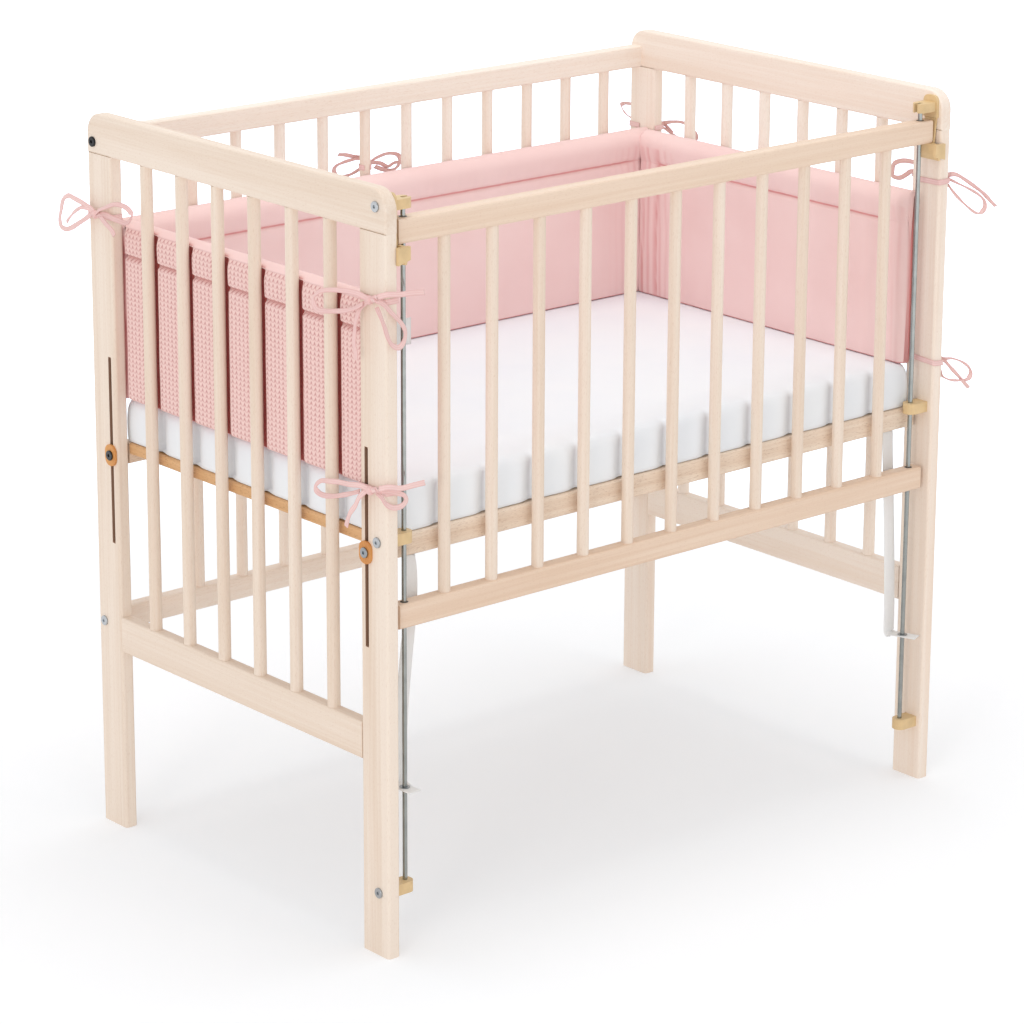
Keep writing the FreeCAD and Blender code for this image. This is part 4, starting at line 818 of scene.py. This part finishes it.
# The end of the crib, the wrap, the knot, and each strand with the side that its face looks to.
TIES = {
    "tie_front_left_upper": (-1, post_wrap(-1, -1, 817.5, -0.2), (-478, -278, 817), (
        (TILT, (482, -261, 822), (485, -233, 821), (488, -205, 816), (489, -192, 809),
         (490, -188, 801), (490, -194, 792), (489, -208, 792), (488, -229, 796),
         (487, -247, 800), (484, -259, 805), (481, -270, 812)),
        (FRONT, (484, -299, 825), (474, -306, 828), (457, -308, 826), (440, -308, 825),
         (421, -308, 823)),
        (FRONT, (484, -298, 821), (475, -302, 815), (465, -303, 804), (454, -305, 792),
         (448, -306, 780), (450, -306, 769), (457, -306, 763), (467, -306, 767),
         (473, -305, 777), (477, -304, 790), (481, -301, 804), (483, -297, 813)),
        (SIDE, (481, -265, 806), (483, -259, 790), (485, -259, 777), (487, -260, 764),
         (487, -263, 755), (487, -263, 745)))),
    "tie_front_left_lower": (-1, post_wrap(-1, -1, 587.5, 0), (-478, -277, 588), (
        (TILT, (482, -265, 592), (485, -247, 590), (487, -229, 589), (489, -214, 587),
         (489, -199, 584), (490, -190, 577), (490, -191, 570), (489, -201, 567),
         (488, -217, 569), (486, -231, 573), (484, -246, 578), (481, -261, 584)),
        (SIDE, (480, -272, 587), (484, -264, 578), (486, -259, 567), (488, -252, 557),
         (488, -247, 547), (488, -244, 538)),
        (FRONT, (484, -299, 596), (474, -306, 598), (457, -308, 594), (439, -308, 594),
         (421, -308, 594)),
        (FRONT, (483, -297, 594), (469, -302, 591), (455, -303, 586), (448, -304, 582),
         (447, -305, 576), (454, -305, 571), (465, -304, 571), (475, -303, 577),
         (480, -301, 586), (483, -296, 591)))),
    "tie_back_left": (-1, post_wrap(-1, 1, 818.5, 0), (-478, 272, 820), (
        (SIDE, (481, 276, 827), (483, 291, 832), (486, 305, 836), (488, 316, 838),
         (489, 326, 831), (489, 331, 818), (490, 333, 806), (489, 332, 796), (489, 322, 794),
         (488, 312, 797), (486, 298, 805), (483, 286, 813), (481, 276, 820)),
        (TILT, (482, 280, 827), (484, 290, 827), (486, 295, 825), (487, 306, 818),
         (488, 316, 808), (489, 320, 803)),
        (TILT, (481, 259, 828), (483, 242, 835), (485, 220, 843), (486, 201, 845),
         (487, 187, 843), (488, 179, 838), (487, 183, 830), (486, 194, 824), (485, 210, 824),
         (483, 229, 824), (481, 247, 825), (480, 264, 822)),
        (SIDE, (481, 257, 821), (484, 241, 815), (486, 226, 810), (487, 218, 804)))),
    "tie_back_right": (1, post_wrap(1, 1, 811.5, 0), (478, 272, 812), (
        (TILT, (481, 290, 824), (484, 318, 829), (487, 345, 828), (488, 354, 824),
         (487, 350, 817), (486, 342, 813), (484, 326, 809), (481, 290, 809)),
        (TILT, (481, 262, 813), (483, 246, 817), (486, 230, 819), (487, 215, 817),
         (487, 200, 810), (487, 198, 801), (486, 210, 794), (484, 236, 798), (481, 262, 808)),
        (SIDE, (481, 262, 812), (484, 259, 811), (486, 252, 805), (487, 246, 800)),
        (SIDE, (481, 280, 800), (484, 286, 784), (486, 288, 766)))),
    "tie_front_right_upper": (1, post_wrap(1, -1, 826, 0.4), (478, -278, 826), (
        (SIDE, (480, -288, 832), (487, -295, 832), (495, -302, 826), (507, -312, 815),
         (515, -318, 807), (521, -324, 798), (527, -329, 790)),
        (TILT, (480, -288, 826), (488, -295, 821), (499, -305, 814), (509, -314, 806),
         (515, -319, 798), (516, -320, 789), (513, -317, 782), (508, -313, 781),
         (502, -308, 786), (492, -299, 798), (484, -292, 810), (480, -286, 819)),
        (SIDE, (481, -246, 837), (484, -218, 837), (486, -199, 835), (487, -184, 829),
         (488, -180, 821), (488, -180, 811), (487, -194, 811), (486, -207, 818),
         (484, -218, 824), (481, -246, 826)),
        (SIDE, (481, -268, 812), (484, -262, 796), (486, -258, 776)))),
    "tie_front_right_lower": (1, post_wrap(1, -1, 587.5, -1.2), (478, -278, 585), (
        (SIDE, (480, -286, 584), (483, -291, 580), (489, -296, 571), (495, -302, 562),
         (501, -306, 554), (507, -312, 544)),
        (TILT, (482, -290, 584), (490, -297, 584), (499, -305, 580), (506, -311, 573),
         (509, -313, 565), (507, -312, 558), (503, -309, 555), (496, -302, 554),
         (488, -295, 555), (480, -289, 560), (480, -285, 568), (480, -281, 578)),
        (TILT, (484, -240, 592), (489, -208, 586), (490, -200, 574), (488, -212, 566),
         (484, -240, 572), (480, -268, 580)),
        (SIDE, (484, -264, 562), (488, -256, 536)))),
}
for node, (sign, wrap, knot, strands) in TIES.items():
    bands = []
    for look, *points in strands:
        look = (look[0] if look == FRONT and sign < 0 else look[0] * sign, look[1], look[2])
        bands.append(([(sign * x, y, z) for x, y, z in points], [look] * len(points)))
    tape = tie(node, wrap, knot, bands)
    if node in SLIDE_KEEP:
        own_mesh(tape)

BAR = BACK_BARS[5]
turns = [math.radians(-75 + 37.5 * k) for k in range(9)]
bar_wrap = ([(BAR + 8.6 * math.cos(a), 285 + 8.6 * math.sin(a), 818) for a in turns],
            [(math.cos(a), math.sin(a), 0) for a in turns])
BEHIND = (0.1, 0.8, 0.6)
tie("tie_back_middle", bar_wrap, (BAR + 12, 297, 816), [(points, [BEHIND] * len(points))
    for points in (
        [(-32, 298, 827), (-46, 301, 831), (-57, 303, 834), (-66, 304, 835)],
        [(-32, 298, 826), (-47, 300, 826), (-59, 302, 824), (-69, 303, 821), (-73, 304, 816),
         (-71, 304, 809), (-64, 303, 805), (-53, 302, 805), (-43, 300, 808), (-32, 298, 813)],
        [(-12, 298, 818), (2, 299, 815), (14, 299, 809), (26, 300, 812), (36, 300, 812)],
        [(-10, 299, 822), (14, 301, 826), (34, 303, 822), (40, 304, 812), (30, 303, 803),
         (12, 301, 804), (-8, 299, 812)])])


# ---------------------------------------------------------------- straps and care tag

STRAP_WIDE, STRAP_THICK = 19.5, 1.2


def strap(name, node, sx, sway, tail):
    """White webbing from under the front beam down to the eyelet round the rod.

    sway moves three points of its drop sideways, and tail moves its end.
    """
    xs, top_z, level = 408.0, 492.2, 207.0
    path = [(xs, -252, top_z), (xs, -256, top_z), (xs, -260.4, top_z - 1.2), (xs, -262, top_z - 5),
            (xs + sway[0], -262, 462), (xs + sway[1], -262, 420), (xs + sway[2], -262, 360),
            (xs + 12, -262, 290), (xs + 14, -262, 240), (xs + 14, -262.2, level + 5),
            (xs + 15, -264, level + 1), (xs + 17, -267, level), (430, -280, level),
            (430 + tail, -299, level - 0.5)]
    points = [(sx * x, y, z) for x, y, z in path]
    looks = [(0, 0, 1)] * 2 + [(0, -0.7, 0.7), (0, -1, 0.1)] + [(0, -1, 0)] * 5
    looks += [(0, -1, 0.2), (0, -0.6, 0.8), (0, -0.1, 1), (0, 0, 1), (0, 0, 1)]
    verts, faces = lofted(band_rings(points, looks, STRAP_WIDE, STRAP_THICK, steps=6))
    obj = surface(name, verts, faces, [webbing])
    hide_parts(node)


strap("strap_left_webbing", "strap_left", -1, (-3, -2, 5), -1)
strap("strap_right_webbing", "strap_right", 1, (1, 4, 8), 8)

low, high = mm("care_tag")


def tag_row(row, depth, columns):
    """Points across the tag at one height, slightly wavy."""
    z = high[2] - (high[2] - low[2]) * row / 8
    return [(low[0] + (high[0] - low[0]) * j / 6,
             low[1] + depth + 0.075 * math.sin(j * 0.9 + row * 0.5), z) for j in columns]


verts, faces = lofted([tag_row(row, 0.15, range(7)) + tag_row(row, 0.55, range(6, -1, -1))
                       for row in range(9)])
tag = surface("care_label", verts, faces, [label_cloth])
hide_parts("care_tag")


# ---------------------------------------------------------------- floor, light and camera

def lamp(name, where, aim, power, size, colour):
    """A square soft light at a place, looking at another."""
    light = bpy.data.lights.new(name, "AREA")
    light.energy = power
    light.size = size
    light.color = colour
    obj = bpy.data.objects.new(name, light)
    obj.location = where
    obj.rotation_euler = (Vector(aim) - Vector(where)).to_track_quat("-Z", "Y").to_euler()
    bpy.context.scene.collection.objects.link(obj)


# The floor is white to the eye: a little extra brightness round the crib, where its soft
# shadow shows, and full white further out. Only camera and mirror rays see it. It is bluish,
# because the lamps and the crib make the floor warm, and neutral in what metal mirrors.
NEAR_LIFT, FAR_LIFT = 0.225, 1.4
NEAR_EDGE, FAR_EDGE = 1.1, 2.6
LIFT_SEEN, LIFT_MIRRORED = (0.58, 0.80, 1, 1), (0.5, 0.5, 0.5, 1)
FLOOR_HALF = 30
floor_mat = Finish("floor_pale", roughness=0.9, specular=0.0)
floor_mat.finish((0.90, 0.875, 0.86, 1.0))
lift = floor_mat.tree.nodes.new("ShaderNodeEmission")
seen = floor_mat.tree.nodes.new("ShaderNodeLightPath")
mirrored = seen.outputs["Is Glossy Ray"]
eye = floor_mat.math("MAXIMUM", seen.outputs["Is Camera Ray"], mirrored)
floor_mat.wire(floor_mat.mix(mirrored, LIFT_SEEN, LIFT_MIRRORED), lift.inputs[0])
away = floor_mat.tree.nodes.new("ShaderNodeVectorMath")
away.operation = "LENGTH"
floor_mat.wire(floor_mat.space, away.inputs[0])
reach = floor_mat.tree.nodes.new("ShaderNodeMapRange")
for slot, value in zip(reach.inputs, (away.outputs["Value"], NEAR_EDGE, FAR_EDGE, NEAR_LIFT,
                                      FAR_LIFT)):
    floor_mat.wire(value, slot)
floor_mat.wire(floor_mat.math("MULTIPLY", eye, reach.outputs[0]), lift.inputs[1])
total = floor_mat.tree.nodes.new("ShaderNodeAddShader")
floor_mat.wire(floor_mat.shader.outputs[0], total.inputs[0])
floor_mat.wire(lift.outputs[0], total.inputs[1])
floor_mat.wire(total.outputs[0], floor_mat.tree.nodes["Material Output"].inputs["Surface"])
mesh = bpy.data.meshes.new("floor")
mesh.from_pydata([(x * FLOOR_HALF, y * FLOOR_HALF, 0)
                  for x, y in ((-1, -1), (1, -1), (1, 1), (-1, 1))], [], [(0, 1, 2, 3)])
mesh.materials.append(floor_mat.mat)
floor = bpy.data.objects.new("floor", mesh)
bpy.context.scene.collection.objects.link(floor)

# A soft sky lights the crib; camera and mirror rays see plain white instead.
SKY_COLOUR, SKY_STRENGTH = (1.0, 0.985, 0.97, 1), 0.83
world = bpy.data.worlds.new("studio")
bpy.context.scene.world = world
world.use_nodes = True
tree = world.node_tree
sky = tree.nodes["Background"]
sky.inputs[0].default_value = SKY_COLOUR
sky.inputs[1].default_value = SKY_STRENGTH
white = tree.nodes.new("ShaderNodeBackground")
white.inputs[0].default_value = (1, 1, 1, 1)
white.inputs[1].default_value = 1.0
path = tree.nodes.new("ShaderNodeLightPath")
seen = tree.nodes.new("ShaderNodeMath")
seen.operation = "MAXIMUM"
tree.links.new(path.outputs["Is Camera Ray"], seen.inputs[0])
tree.links.new(path.outputs["Is Glossy Ray"], seen.inputs[1])
pick = tree.nodes.new("ShaderNodeMixShader")
tree.links.new(seen.outputs[0], pick.inputs[0])
tree.links.new(sky.outputs[0], pick.inputs[1])
tree.links.new(white.outputs[0], pick.inputs[2])
tree.links.new(pick.outputs[0], tree.nodes["World Output"].inputs[0])

lamp("front", (2.4, -8.0, 2.2), (0, 0, 0.5), 26, 2.0, (1.0, 0.97, 0.93))
lamp("left", (-7.4, -3.9, 1.8), (0, 0, 0.5), 99, 2.0, (1.0, 0.985, 0.97))
lamp("top", (0.1, 0.0, 3.6), (0, 0, 0), 23, 1.8, (1.0, 0.995, 0.985))

# The camera fitted to the photograph: lens in millimetres, shift, place in metres, and how far
# it is tipped up from looking straight down, rolled and turned, in degrees.
LENS, SHIFT = 133.594, -0.0996
PLACE = (-3.11459, -3.58624, 1.89223)
TIPPED, ROLLED, TURNED = 74.0818, -0.2587, -40.7032
camera_data = bpy.data.cameras.new("camera")
camera_data.sensor_width = 36.0
camera_data.lens = LENS
camera_data.shift_y = SHIFT
camera_data.clip_end = 100
camera = bpy.data.objects.new("camera", camera_data)
angles = [math.radians(angle) for angle in (TIPPED, ROLLED, TURNED)]
camera.matrix_world = Matrix.LocRotScale(PLACE, Euler(angles), None)
bpy.context.scene.collection.objects.link(camera)
bpy.context.scene.camera = camera
bpy.context.scene.view_settings.view_transform = "Standard"
